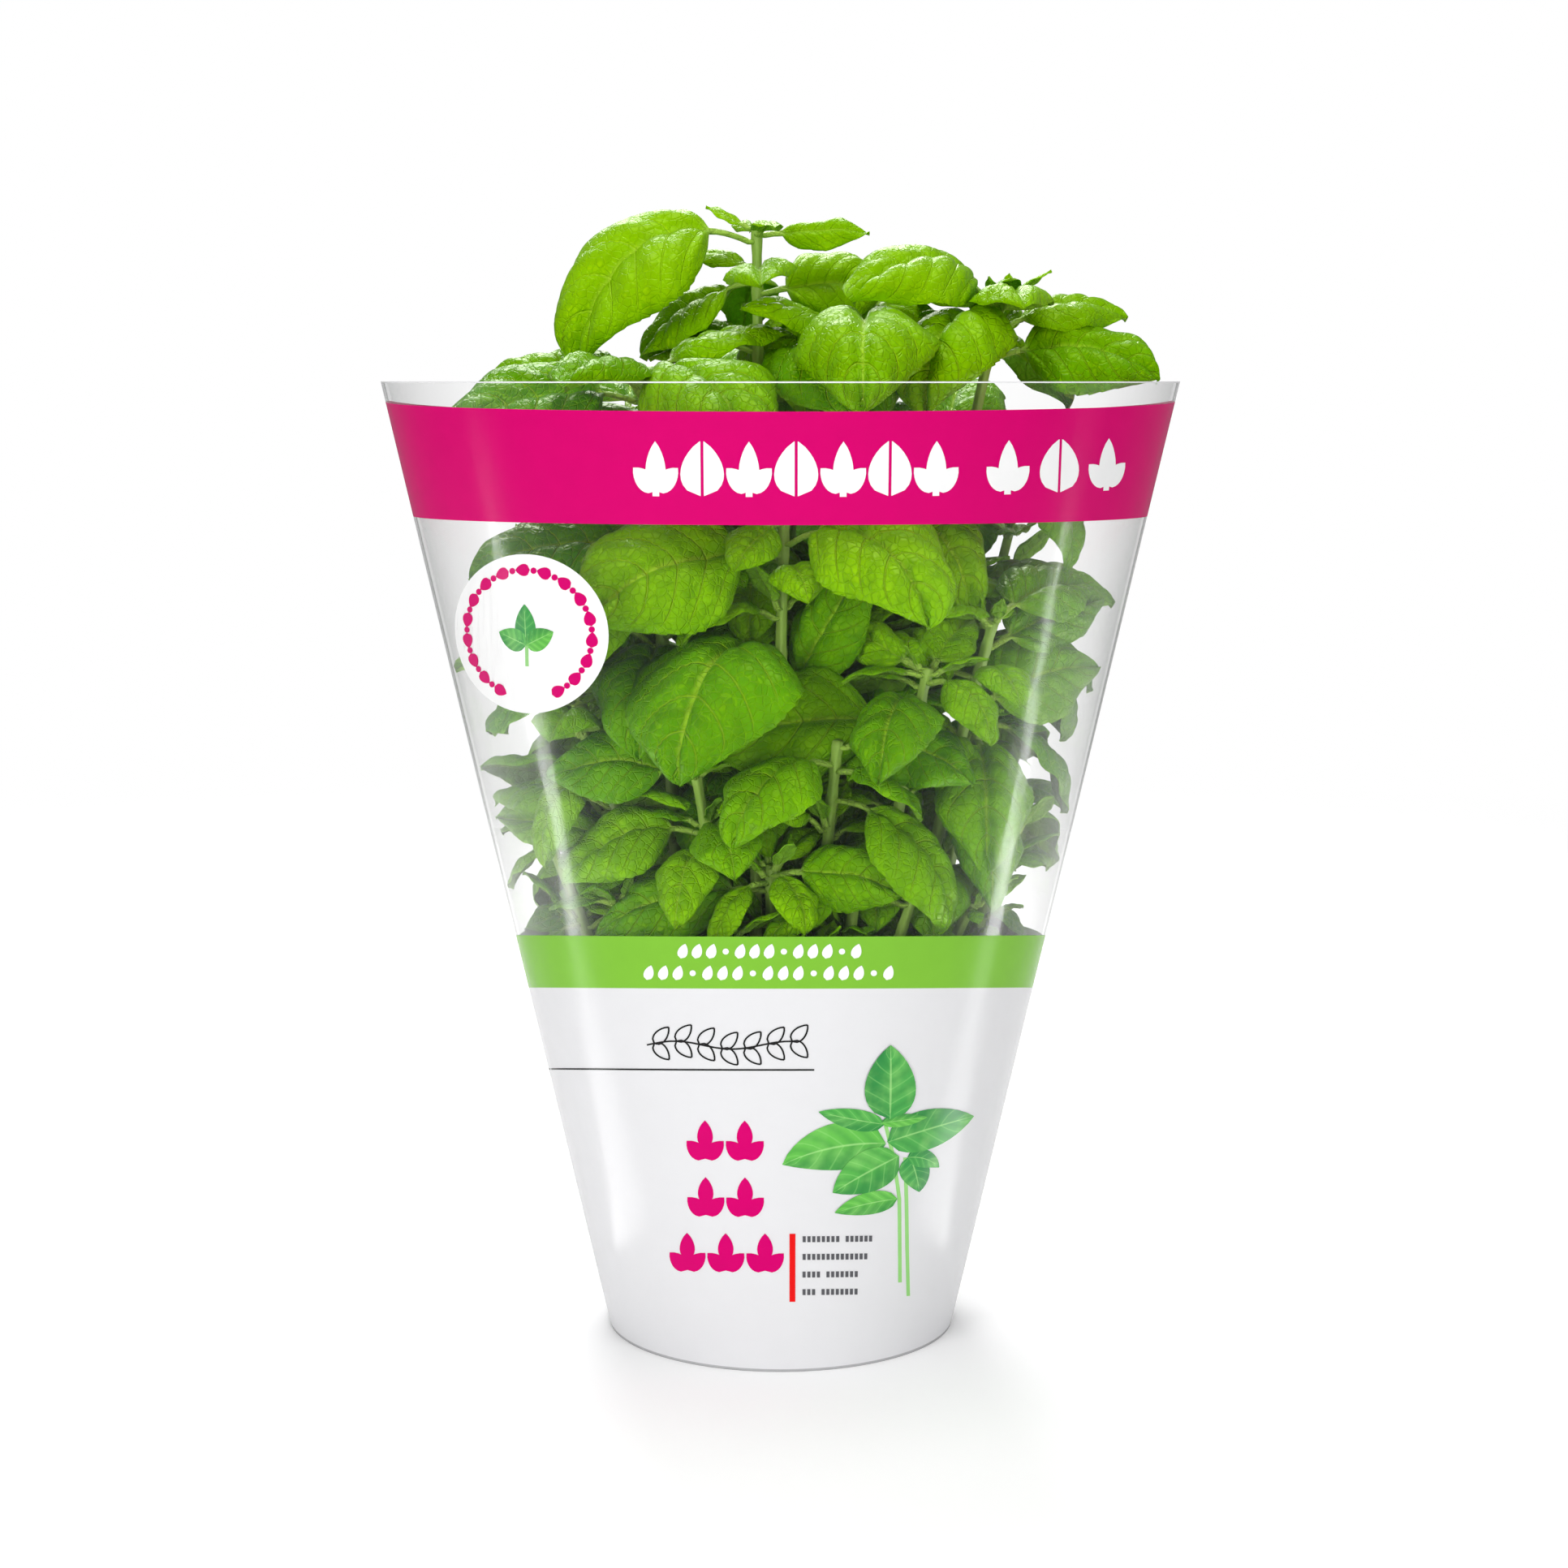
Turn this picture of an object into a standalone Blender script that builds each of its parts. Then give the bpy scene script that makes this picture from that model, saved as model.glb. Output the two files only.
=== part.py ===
"""Potted basil plant in a cone sleeve: nursery pot, potting soil, film sleeve, stems and leaves.

Metres, +Z up. The origin is on the floor under the centre of the pot. The front of the sleeve looks to -Y.
"""

import math
from collections import namedtuple

import bmesh
import bpy
from mathutils import Matrix, Vector
from mathutils.bvhtree import BVHTree

MM = 0.001

ROUND_STEPS = 60

# Sleeve: a cone of film that hangs on the pot's rim and touches the floor.
SLEEVE_HEIGHT = 0.290
SLEEVE_TOP_RADIUS = 0.119
SLEEVE_WALL = 0.0004

# Pot
POT_HEIGHT = 0.106
POT_RIM_RADIUS = 0.0765
POT_WALL = 0.0014
RIM_CLEARANCE = 0.0005
FOOT_CLEARANCE = 0.0035
SKIRT_HEIGHT = 0.012
SKIRT_OVERHANG = 0.0022
FOOT_RECESS = 0.0035
FOOT_WIDTH = 0.009
DRAIN_HOLES = 8
DRAIN_RADIUS = 0.0042
DRAIN_INSET = 0.010

# Soil
SOIL_DROP = 0.012
SOIL_CROWN = 0.003
SOIL_GAP = 0.0004

# Stems and leaves
STEM_RADIUS = 0.0021
STEM_TAPER = 0.62
STEM_POINTS = 8
STEM_DEPTH = 0.010
LEAN_POWER = 1.35
SOCKET_GAP = 0.0004
LEAF_THICKNESS = 0.0008
LEAF_GAP = 0.0004
PETIOLE_SHARE = 0.2
PETIOLE_WIDTH = 0.0022
PETIOLE_ROWS = 2
BLADE_ROWS = 5
BLADE_COLUMNS = 4

# Where each stem leaves the soil, in percent of the soil's radius, and where it ends, in percent of the
# sleeve's radius there and in millimetres above the soil.
Stem = namedtuple("Stem", "foot_x foot_y tip_x tip_y tip_height")
STEMS = {
    "tall": Stem(-8, 3, -6, -4, 242),
    "left": Stem(-42, -30, -34, -22, 197),
    "left_low": Stem(-38, -50, -64, -34, 104),
    "front_left": Stem(-20, -58, -26, -62, 86),
    "front_low": Stem(-4, -72, -3, -76, 60),
    "front_centre": Stem(14, -50, 17, -66, 95),
    "front_mid": Stem(-3, -33, 1, -48, 158),
    "front_right": Stem(36, -47, 42, -56, 115),
    "mid_right": Stem(28, -11, 21, -9, 212),
    "right_front": Stem(53, -30, 60, -38, 127),
    "right_low": Stem(64, -8, 62, -26, 98),
    "right_top": Stem(44, 17, 55, -6, 219),
    "back_left": Stem(-39, 28, -42, 36, 188),
    "back_mid": Stem(0, 47, 4, 46, 204),
    "back_right": Stem(36, 50, 46, 40, 182),
}

# Leaves: the stem and the height of the node above the soil in millimetres, then how the leaf grows from
# there in degrees: azimuth from +X, pitch above level, droop along its length and twist about its
# midrib, and last the blade's length and width in millimetres and how far its sides curl under.
Leaf = namedtuple("Leaf", "stem height azimuth pitch droop twist length width curl")
LEAVES = {
    "tall_left_arch": Leaf("tall", 237, 198, 24, 118, -32, 64, 46, 35),
    "tall_left_hanging": Leaf("tall", 225, 176, -8, 52, -25, 34, 28, 30),
    "tall_right": Leaf("tall", 222, 8, 16, 26, 58, 32, 28, 30),
    "tall_low_left": Leaf("tall", 205, 190, 24, 55, -30, 28, 16, 35),
    "tall_low_front": Leaf("tall", 200, 305, 30, 95, 10, 56, 46, 35),
    "left_top_front": Leaf("left", 194, 312, 30, 95, 15, 54, 44, 40),
    "left_top_side": Leaf("left", 190, 204, 20, 66, -40, 54, 42, 40),
    "left_top_back": Leaf("left", 195, 165, 28, 60, -30, 46, 36, 35),
    "left_mid_side": Leaf("left", 146, 192, 18, 50, -45, 46, 34, 35),
    "mid_right_front": Leaf("mid_right", 208, 268, 36, 112, 5, 60, 46, 45),
    "mid_right_back": Leaf("mid_right", 210, 75, 45, 100, 20, 56, 42, 40),
    "mid_right_arch": Leaf("mid_right", 204, 172, 48, 112, -30, 52, 42, 40),
    "mid_right_low": Leaf("mid_right", 160, 318, 5, 85, 15, 48, 36, 35),
    "right_top_left": Leaf("right_top", 217, 212, 54, 104, -25, 48, 38, 35),
    "right_top_front": Leaf("right_top", 210, 240, 38, 135, 0, 52, 42, 55),
    "right_top_side": Leaf("right_top", 203, 345, 22, 58, 46, 43, 32, 40),
    "right_top_back": Leaf("right_top", 206, 52, 6, 60, 20, 40, 30, 35),
    "right_top_low": Leaf("right_top", 168, 352, 22, 135, 20, 44, 28, 35),
    "front_mid_left": Leaf("front_mid", 147, 204, 12, 58, -50, 54, 44, 30),
    "front_mid_right": Leaf("front_mid", 150, 318, 30, 104, 26, 54, 40, 35),
    "front_mid_great": Leaf("front_mid", 117, 236, 30, 128, -6, 60, 57, 30),
    "front_mid_rising": Leaf("front_mid", 103, 350, 70, 20, 60, 40, 27, 30),
    "right_front_side": Leaf("right_front", 119, 8, 20, 16, 50, 48, 22, 35),
    "right_front_back": Leaf("right_front", 128, 62, 18, 40, 30, 44, 26, 30),
    "right_front_rising": Leaf("right_front", 100, 350, 52, 40, 65, 44, 33, 25),
    "front_right_left": Leaf("front_right", 100, 212, 4, 16, -68, 54, 34, 30),
    "front_right_front": Leaf("front_right", 104, 256, 30, 120, 6, 38, 30, 45),
    "front_centre_left": Leaf("front_centre", 88, 262, 20, 98, -6, 44, 38, 35),
    "front_centre_right": Leaf("front_centre", 77, 304, 12, 88, 12, 50, 40, 35),
    "right_low_front": Leaf("right_low", 90, 312, 28, 118, 0, 58, 38, 35),
    "right_low_side": Leaf("right_low", 95, 338, 18, 95, 10, 44, 28, 35),
    "front_low_right": Leaf("front_low", 57, 328, 14, 45, 48, 31, 24, 35),
    "front_low_left": Leaf("front_low", 52, 212, 6, 45, -50, 44, 27, 35),
    "front_left_side": Leaf("front_left", 67, 222, 18, 76, -30, 38, 32, 35),
    "front_left_top": Leaf("front_left", 84, 172, 24, 50, -50, 36, 26, 35),
    "left_low_side": Leaf("left_low", 62, 188, 2, 14, -58, 40, 17, 30),
    "left_low_top": Leaf("left_low", 102, 168, 14, 60, -25, 38, 28, 35),
    "back_left_side": Leaf("back_left", 184, 130, 24, 70, 0, 54, 40, 35),
    "back_left_low": Leaf("back_left", 121, 150, 20, 95, 0, 54, 38, 35),
    "back_mid_left": Leaf("back_mid", 200, 112, 30, 95, 0, 56, 42, 35),
    "back_mid_right": Leaf("back_mid", 152, 68, 24, 100, 0, 56, 40, 35),
    "back_right_side": Leaf("back_right", 176, 40, 26, 80, 0, 54, 40, 35),
}

# Tried in turn for each leaf until it touches nothing: a turn round the stem, a change of pitch, a size.
SIZES = (1.0, 0.9, 0.8, 0.7, 0.6, 0.5)
TURNS = (0, 8, -8, 16, -16, 26, -26, 40, -40)
LIFTS = (0, -9, 9, -18, 18, 30)

COLOURS = {
    "film": (0.93, 0.94, 0.95, 1.0),
    "pot": (0.03, 0.03, 0.032, 1.0),
    "soil": (0.06, 0.038, 0.022, 1.0),
    "stem": (0.36, 0.5, 0.12, 1.0),
    "leaf": (0.13, 0.36, 0.02, 1.0),
}
ROUGHNESS = {"film": 0.15, "pot": 0.45, "soil": 0.95, "stem": 0.5, "leaf": 0.42}


def clear_scene():
    for found in list(bpy.data.objects):
        bpy.data.objects.remove(found)


def new_collection(name):
    made = bpy.data.collections.new(name)
    bpy.context.scene.collection.children.link(made)
    return made


def material(name):
    made = bpy.data.materials.get(name) or bpy.data.materials.new(name)
    made.use_nodes = True
    shader = made.node_tree.nodes["Principled BSDF"]
    shader.inputs["Base Color"].default_value = COLOURS[name]
    shader.inputs["Roughness"].default_value = ROUGHNESS[name]
    return made


def add_object(name, data, collection, finish):
    made = bpy.data.objects.new(name, data)
    collection.objects.link(made)
    data.materials.append(material(finish))
    return made


def sleeve_radius(height):
    """Outer radius of the film: a straight cone through the sleeve's mouth and round the pot's rim."""
    at_rim = POT_RIM_RADIUS + RIM_CLEARANCE + SLEEVE_WALL
    slope = (SLEEVE_TOP_RADIUS - at_rim) / (SLEEVE_HEIGHT - POT_HEIGHT)
    return at_rim + slope * (height - POT_HEIGHT)


def skirt_radius(height):
    """Outer radius of the rim's skirt, which follows the film."""
    return sleeve_radius(height) - SLEEVE_WALL - RIM_CLEARANCE


def pot_radius(height):
    """Outer radius of the pot's wall, which stands in from the skirt and, further, from the film at the foot."""
    foot = sleeve_radius(0) - SLEEVE_WALL - FOOT_CLEARANCE
    neck_height = POT_HEIGHT - SKIRT_HEIGHT
    neck = skirt_radius(neck_height) - SKIRT_OVERHANG
    return foot + (neck - foot) * height / neck_height


def turned(name, profile, collection, finish, closed=False):
    """A turned solid from its half profile, which runs down the outer side."""
    mesh = bpy.data.meshes.new(name)
    corners = [(radius, 0, height) for radius, height in profile]
    edges = [(i, i + 1) for i in range(len(corners) - 1)]
    if closed:
        edges.append((len(corners) - 1, 0))
    mesh.from_pydata(corners, edges, [])
    made = add_object(name, mesh, collection, finish)
    screw = made.modifiers.new("Turn", "SCREW")
    screw.steps = screw.render_steps = ROUND_STEPS
    screw.use_merge_vertices = True
    screw.merge_threshold = 0.00005
    screw.use_smooth_shade = True
    return made


def cylinder(name, radius, low, high, at, collection):
    """An upright cutter."""
    mesh = bpy.data.meshes.new(name)
    shape = bmesh.new()
    bmesh.ops.create_cone(shape, cap_ends=True, segments=12, radius1=radius, radius2=radius, depth=high - low)
    shape.to_mesh(mesh)
    shape.free()
    made = bpy.data.objects.new(name, mesh)
    collection.objects.link(made)
    made.location = (at[0], at[1], (low + high) / 2)
    made.hide_render = True
    made.display_type = "WIRE"
    return made


def cut(solid, cutter):
    boolean = solid.modifiers.new(cutter.name, "BOOLEAN")
    boolean.operation = "DIFFERENCE"
    boolean.object = cutter


def make_sleeve(parts):
    top = sleeve_radius(SLEEVE_HEIGHT)
    foot = sleeve_radius(0)
    profile = [
        (top, SLEEVE_HEIGHT),
        (foot, 0),
        (foot - SLEEVE_WALL, 0),
        (top - SLEEVE_WALL, SLEEVE_HEIGHT),
    ]
    return turned("sleeve", profile, parts, "film", closed=True)


def make_pot(parts, cutters):
    """A thin tapered pot with a rim skirt, a recessed base on a foot ring, and drain holes in the recess."""
    skirt = POT_HEIGHT - SKIRT_HEIGHT
    lip = skirt + SKIRT_OVERHANG
    foot = pot_radius(0)
    recess = foot - FOOT_WIDTH
    floor = FOOT_RECESS + POT_WALL
    profile = [
        (0, floor),
        (recess - POT_WALL, floor),
        (recess + POT_WALL, POT_WALL),
        (pot_radius(POT_WALL) - POT_WALL, POT_WALL),
        (pot_radius(skirt) - POT_WALL, skirt),
        (skirt_radius(lip) - POT_WALL, lip),
        (POT_RIM_RADIUS - POT_WALL, POT_HEIGHT),
        (POT_RIM_RADIUS, POT_HEIGHT),
        (skirt_radius(skirt), skirt),
        (pot_radius(skirt), skirt),
        (foot, 0),
        (recess, 0),
        (recess - 2 * POT_WALL, FOOT_RECESS),
        (0, FOOT_RECESS),
    ]
    pot = turned("pot", profile, parts, "pot")
    for index in range(DRAIN_HOLES):
        turn = math.tau * (index + 0.5) / DRAIN_HOLES
        ring = recess - DRAIN_INSET
        at = (ring * math.cos(turn), ring * math.sin(turn))
        cut(pot, cylinder(f"drain_{index}", DRAIN_RADIUS, -POT_WALL, floor + POT_WALL, at, cutters))
    return pot


def make_soil(parts, cutters):
    """Soil that fills the pot to SOIL_DROP below its rim, with a socket for each stem."""
    level = soil_level()
    inset = POT_WALL + SOIL_GAP
    recess = pot_radius(0) - FOOT_WIDTH
    floor = FOOT_RECESS + inset
    profile = [
        (0, level + SOIL_CROWN),
        (0.6 * soil_radius(), level + 0.6 * SOIL_CROWN),
        (soil_radius(), level),
        (pot_radius(inset) - inset, inset),
        (recess + inset, inset),
        (recess - POT_WALL, floor),
        (0, floor),
    ]
    soil = turned("soil", profile, parts, "soil")
    for name, stem in STEMS.items():
        radius = STEM_RADIUS + SOCKET_GAP
        bottom = level - STEM_DEPTH - SOCKET_GAP
        cut(soil, cylinder(f"socket_{name}", radius, bottom, level + 2 * STEM_DEPTH, foot_of(stem), cutters))
    return soil


def soil_level():
    """Height of the soil's surface where it meets the pot."""
    return POT_HEIGHT - SOIL_DROP


def soil_radius():
    """Radius of the soil's surface."""
    return pot_radius(soil_level()) - POT_WALL - SOIL_GAP


def foot_of(stem):
    """Where the stem leaves the soil."""
    return Vector((stem.foot_x, stem.foot_y, 0)) * soil_radius() / 100


def stem_point(stem, height):
    """A point of the stem's centre line, which rises out of the soil and leans to its tip."""
    tip_height = stem.tip_height * MM
    widest = sleeve_radius(min(soil_level() + tip_height, SLEEVE_HEIGHT)) - SLEEVE_WALL
    tip = Vector((stem.tip_x, stem.tip_y, 0)) * widest / 100
    lean = max(0.0, height / tip_height) ** LEAN_POWER
    return foot_of(stem).lerp(tip, lean) + Vector((0, 0, soil_level() + height))


def make_stem(name, stem, parts):
    """A tapering round tube along the stem's centre line, with its foot in the soil."""
    tip_height = stem.tip_height * MM
    curve = bpy.data.curves.new(f"stem_{name}", "CURVE")
    curve.dimensions = "3D"
    curve.bevel_depth = STEM_RADIUS
    curve.bevel_resolution = 1
    curve.use_fill_caps = True
    spline = curve.splines.new("POLY")
    spline.points.add(STEM_POINTS - 1)
    heights = [-STEM_DEPTH] + [tip_height * i / (STEM_POINTS - 2) for i in range(STEM_POINTS - 1)]
    for point, height in zip(spline.points, heights):
        point.co = (*stem_point(stem, height), 1)
        point.radius = 1 - (1 - STEM_TAPER) * max(0.0, height / tip_height)
    return add_object(f"stem_{name}", curve, parts, "stem")


def blade_shape(share):
    """Half width of a basil blade along its length, from 0 at the base to 1 at its widest and 0 at the tip."""
    return (share ** 0.55) * ((1 - share) ** 0.85) / 0.3913


def leaf_rows(leaf, turn, lift, size):
    """The leaf's middle surface as rows of (point, normal) across it, from its petiole to its tip."""
    stem = STEMS[leaf.stem]
    azimuth = math.radians(leaf.azimuth + turn)
    pitch = math.radians(leaf.pitch + lift)
    droop = math.radians(leaf.droop)
    twist = math.radians(leaf.twist)
    curl = math.radians(leaf.curl)
    length = leaf.length * MM * size
    petiole = length * PETIOLE_SHARE
    side = Vector((-math.sin(azimuth), math.cos(azimuth), 0))
    outward = Vector((math.cos(azimuth), math.sin(azimuth), 0))
    point = stem_point(stem, leaf.height * MM) + outward * (STEM_RADIUS + SOCKET_GAP)
    steps = [petiole / PETIOLE_ROWS] * PETIOLE_ROWS + [length / BLADE_ROWS] * BLADE_ROWS
    rows, done = [], 0.0
    for index in range(len(steps) + 1):
        angle = pitch - droop * done / (petiole + length)
        ahead = outward * math.cos(angle) + Vector((0, 0, math.sin(angle)))
        roll = Matrix.Rotation(twist * min(1.0, done / petiole), 3, ahead)
        across = roll @ side
        normal = roll @ ahead.cross(side)
        share = (done - petiole) / length
        half = PETIOLE_WIDTH / 2
        if share > 0:
            half = max(0.3 * MM, half * (1 - share), leaf.width * MM * size / 2 * blade_shape(min(share, 1)))
        row = []
        for column in range(BLADE_COLUMNS + 1):
            bend = curl * (2 * column / BLADE_COLUMNS - 1)
            sideways = math.sin(bend) / curl
            under = (math.cos(bend) - 1) / curl
            place = point + across * (half * sideways) + normal * (half * under)
            row.append((place, normal * math.cos(bend) + across * math.sin(bend)))
        rows.append(row)
        if index < len(steps):
            middle = angle - droop * steps[index] / (petiole + length) / 2
            point = point + (outward * math.cos(middle) + Vector((0, 0, math.sin(middle)))) * steps[index]
            done += steps[index]
    return rows


def shell(rows, half):
    """The leaf's surface thickened by half on both sides, as points and faces for a touch test."""
    columns = len(rows[0])
    flat = [cell for row in rows for cell in row]
    above = [place + normal * half for place, normal in flat]
    below = [place - normal * half for place, normal in flat]
    count = len(flat)
    faces = []
    for i in range(len(rows) - 1):
        for j in range(columns - 1):
            a = i * columns + j
            faces.append((a, a + 1, a + columns + 1, a + columns))
            faces.append(tuple(count + k for k in faces[-1]))
        for j in (0, columns - 1):
            a = i * columns + j
            faces.append((a, a + columns, count + a + columns, count + a))
    for i in (0, len(rows) - 1):
        for j in range(columns - 1):
            a = i * columns + j
            faces.append((a, a + 1, count + a + 1, count + a))
    return above + below, faces


def tree_of(obj):
    """A touch tree of an object as it is evaluated."""
    bpy.context.view_layer.update()
    graph = bpy.context.evaluated_depsgraph_get()
    mesh = obj.evaluated_get(graph).to_mesh()
    corners = [obj.matrix_world @ vertex.co for vertex in mesh.vertices]
    faces = [tuple(polygon.vertices) for polygon in mesh.polygons]
    return BVHTree.FromPolygons(corners, faces)


def grown(leaf, obstacles):
    """The leaf at the first size, turn and lift at which it touches nothing already there."""
    for size in SIZES:
        for lift in LIFTS:
            for turn in TURNS:
                rows = leaf_rows(leaf, turn, lift, size)
                around = BVHTree.FromPolygons(*shell(rows, LEAF_THICKNESS / 2 + LEAF_GAP))
                if not any(around.overlap(other) for other in obstacles):
                    return rows
    return rows


def make_leaf(name, rows, parts):
    """A thin blade with its petiole, as an open sheet made solid."""
    mesh = bpy.data.meshes.new(name)
    sheet = bmesh.new()
    bmesh.ops.create_grid(sheet, x_segments=BLADE_COLUMNS, y_segments=len(rows) - 1, size=1)
    sheet.verts.ensure_lookup_table()
    for vertex, (place, _) in zip(sheet.verts, [cell for row in rows for cell in row]):
        vertex.co = place
    sheet.to_mesh(mesh)
    sheet.free()
    made = add_object(name, mesh, parts, "leaf")
    solid = made.modifiers.new("Thickness", "SOLIDIFY")
    solid.thickness = LEAF_THICKNESS
    solid.offset = 0
    mesh.shade_smooth()
    return made


def main():
    clear_scene()
    parts = new_collection("potted_basil")
    cutters = new_collection("cutters")
    sleeve = make_sleeve(parts)
    pot = make_pot(parts, cutters)
    soil = make_soil(parts, cutters)
    stems = [make_stem(name, stem, parts) for name, stem in STEMS.items()]
    obstacles = [tree_of(obj) for obj in (sleeve, pot, soil, *stems)]
    for name, leaf in LEAVES.items():
        rows = grown(leaf, obstacles)
        obstacles.append(BVHTree.FromPolygons(*shell(rows, LEAF_THICKNESS / 2)))
        make_leaf(f"leaf_{name}", rows, parts)


main()
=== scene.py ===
"""Looks of the potted basil: the pot, the soil, the stalks, every leaf and the printed film sleeve.

Lengths are in metres in the model's own frame: +Z up, the origin on the floor under the pot, and the
printed front looking to -Y. A turn round the sleeve is counted from its front, towards +X.
"""

import math
import random
from collections import namedtuple

import bmesh
import bpy
import numpy as np
from mathutils import Matrix, Vector, noise
from mathutils.bvhtree import BVHTree


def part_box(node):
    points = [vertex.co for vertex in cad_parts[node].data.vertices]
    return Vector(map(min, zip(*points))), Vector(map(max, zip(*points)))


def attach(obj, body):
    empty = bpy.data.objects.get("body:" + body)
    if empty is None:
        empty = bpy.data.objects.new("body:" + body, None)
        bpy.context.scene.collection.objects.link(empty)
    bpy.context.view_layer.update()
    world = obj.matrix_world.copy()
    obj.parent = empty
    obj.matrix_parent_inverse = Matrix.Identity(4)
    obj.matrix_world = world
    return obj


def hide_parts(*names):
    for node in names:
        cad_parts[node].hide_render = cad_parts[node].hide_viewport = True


bl_info = {
    "name": "Potted Basil",
    "version": (1, 0, 0),
    "blender": (4, 5, 0),
    "location": "View3D > Sidebar > Basil",
    "description": "Builds the looks of a basil plant in its pot and printed film sleeve",
    "category": "Object",
}

MM = 0.001
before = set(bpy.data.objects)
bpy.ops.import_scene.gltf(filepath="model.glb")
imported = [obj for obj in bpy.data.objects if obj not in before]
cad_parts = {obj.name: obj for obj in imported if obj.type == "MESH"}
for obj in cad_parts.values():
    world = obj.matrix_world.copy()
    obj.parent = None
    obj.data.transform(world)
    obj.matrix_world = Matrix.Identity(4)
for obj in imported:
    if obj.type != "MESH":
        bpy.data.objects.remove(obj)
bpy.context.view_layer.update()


def corners(node):
    return [vertex.co.copy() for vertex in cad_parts[node].data.vertices]


def node_faces(node):
    return [tuple(polygon.vertices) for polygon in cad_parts[node].data.polygons]


def radii_near(node, height, within=0.0002):
    """The least and greatest radius at which a turned node has corners at a height."""
    found = [math.hypot(c.x, c.y) for c in corners(node) if abs(c.z - height) < within]
    return min(found), max(found)


SLEEVE_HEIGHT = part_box("sleeve")[1].z
SLEEVE_TOP = radii_near("sleeve", SLEEVE_HEIGHT)[1]
SLEEVE_FOOT = radii_near("sleeve", 0)[1]
FILM_INSIDE = SLEEVE_TOP - radii_near("sleeve", SLEEVE_HEIGHT)[0]
POT_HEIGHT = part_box("pot")[1].z
SOIL_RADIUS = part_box("soil")[1].x
SOIL_LEVEL = max(c.z for c in corners("soil") if math.hypot(c.x, c.y) > SOIL_RADIUS - 0.0002)
SOIL_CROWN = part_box("soil")[1].z - SOIL_LEVEL
SOIL_SHOWN = 0.02

# Stems and leaves grow as they do in the frame, so these repeat the part's own values.
STEM_RADIUS = 0.0021
STEM_TAPER = 0.62
LEAN_POWER = 1.35
SOCKET_GAP = 0.0004
LEAF_THICKNESS = 0.0008
LEAF_GAP = 0.0004
PETIOLE_SHARE = 0.2
PETIOLE_WIDTH = 0.0022
PETIOLE_ROWS = 2
BLADE_ROWS = 5
BLADE_COLUMNS = 4

# The curve of a blade's width: its powers towards the base and the tip, and the height of its peak.
BASE_ROUNDING = 0.55
TIP_ROUNDING = 0.85
WIDEST = 0.3913

# Where each stem leaves the soil, in percent of the soil's radius, and where it ends, in percent of the
# sleeve's radius there and in millimetres above the soil.
Stem = namedtuple("Stem", "foot_x foot_y tip_x tip_y tip_height")
STEMS = {
    "tall": Stem(-8, 3, -6, -4, 242),
    "left": Stem(-42, -30, -34, -22, 197),
    "left_low": Stem(-38, -50, -64, -34, 104),
    "front_left": Stem(-20, -58, -26, -62, 86),
    "front_low": Stem(-4, -72, -3, -76, 60),
    "front_centre": Stem(14, -50, 17, -66, 95),
    "front_mid": Stem(-3, -33, 1, -48, 158),
    "front_right": Stem(36, -47, 42, -56, 115),
    "mid_right": Stem(28, -11, 21, -9, 212),
    "right_front": Stem(53, -30, 60, -38, 127),
    "right_low": Stem(64, -8, 62, -26, 98),
    "right_top": Stem(44, 17, 55, -6, 219),
    "back_left": Stem(-39, 28, -42, 36, 188),
    "back_mid": Stem(0, 47, 4, 46, 204),
    "back_right": Stem(36, 50, 46, 40, 182),
}

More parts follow.
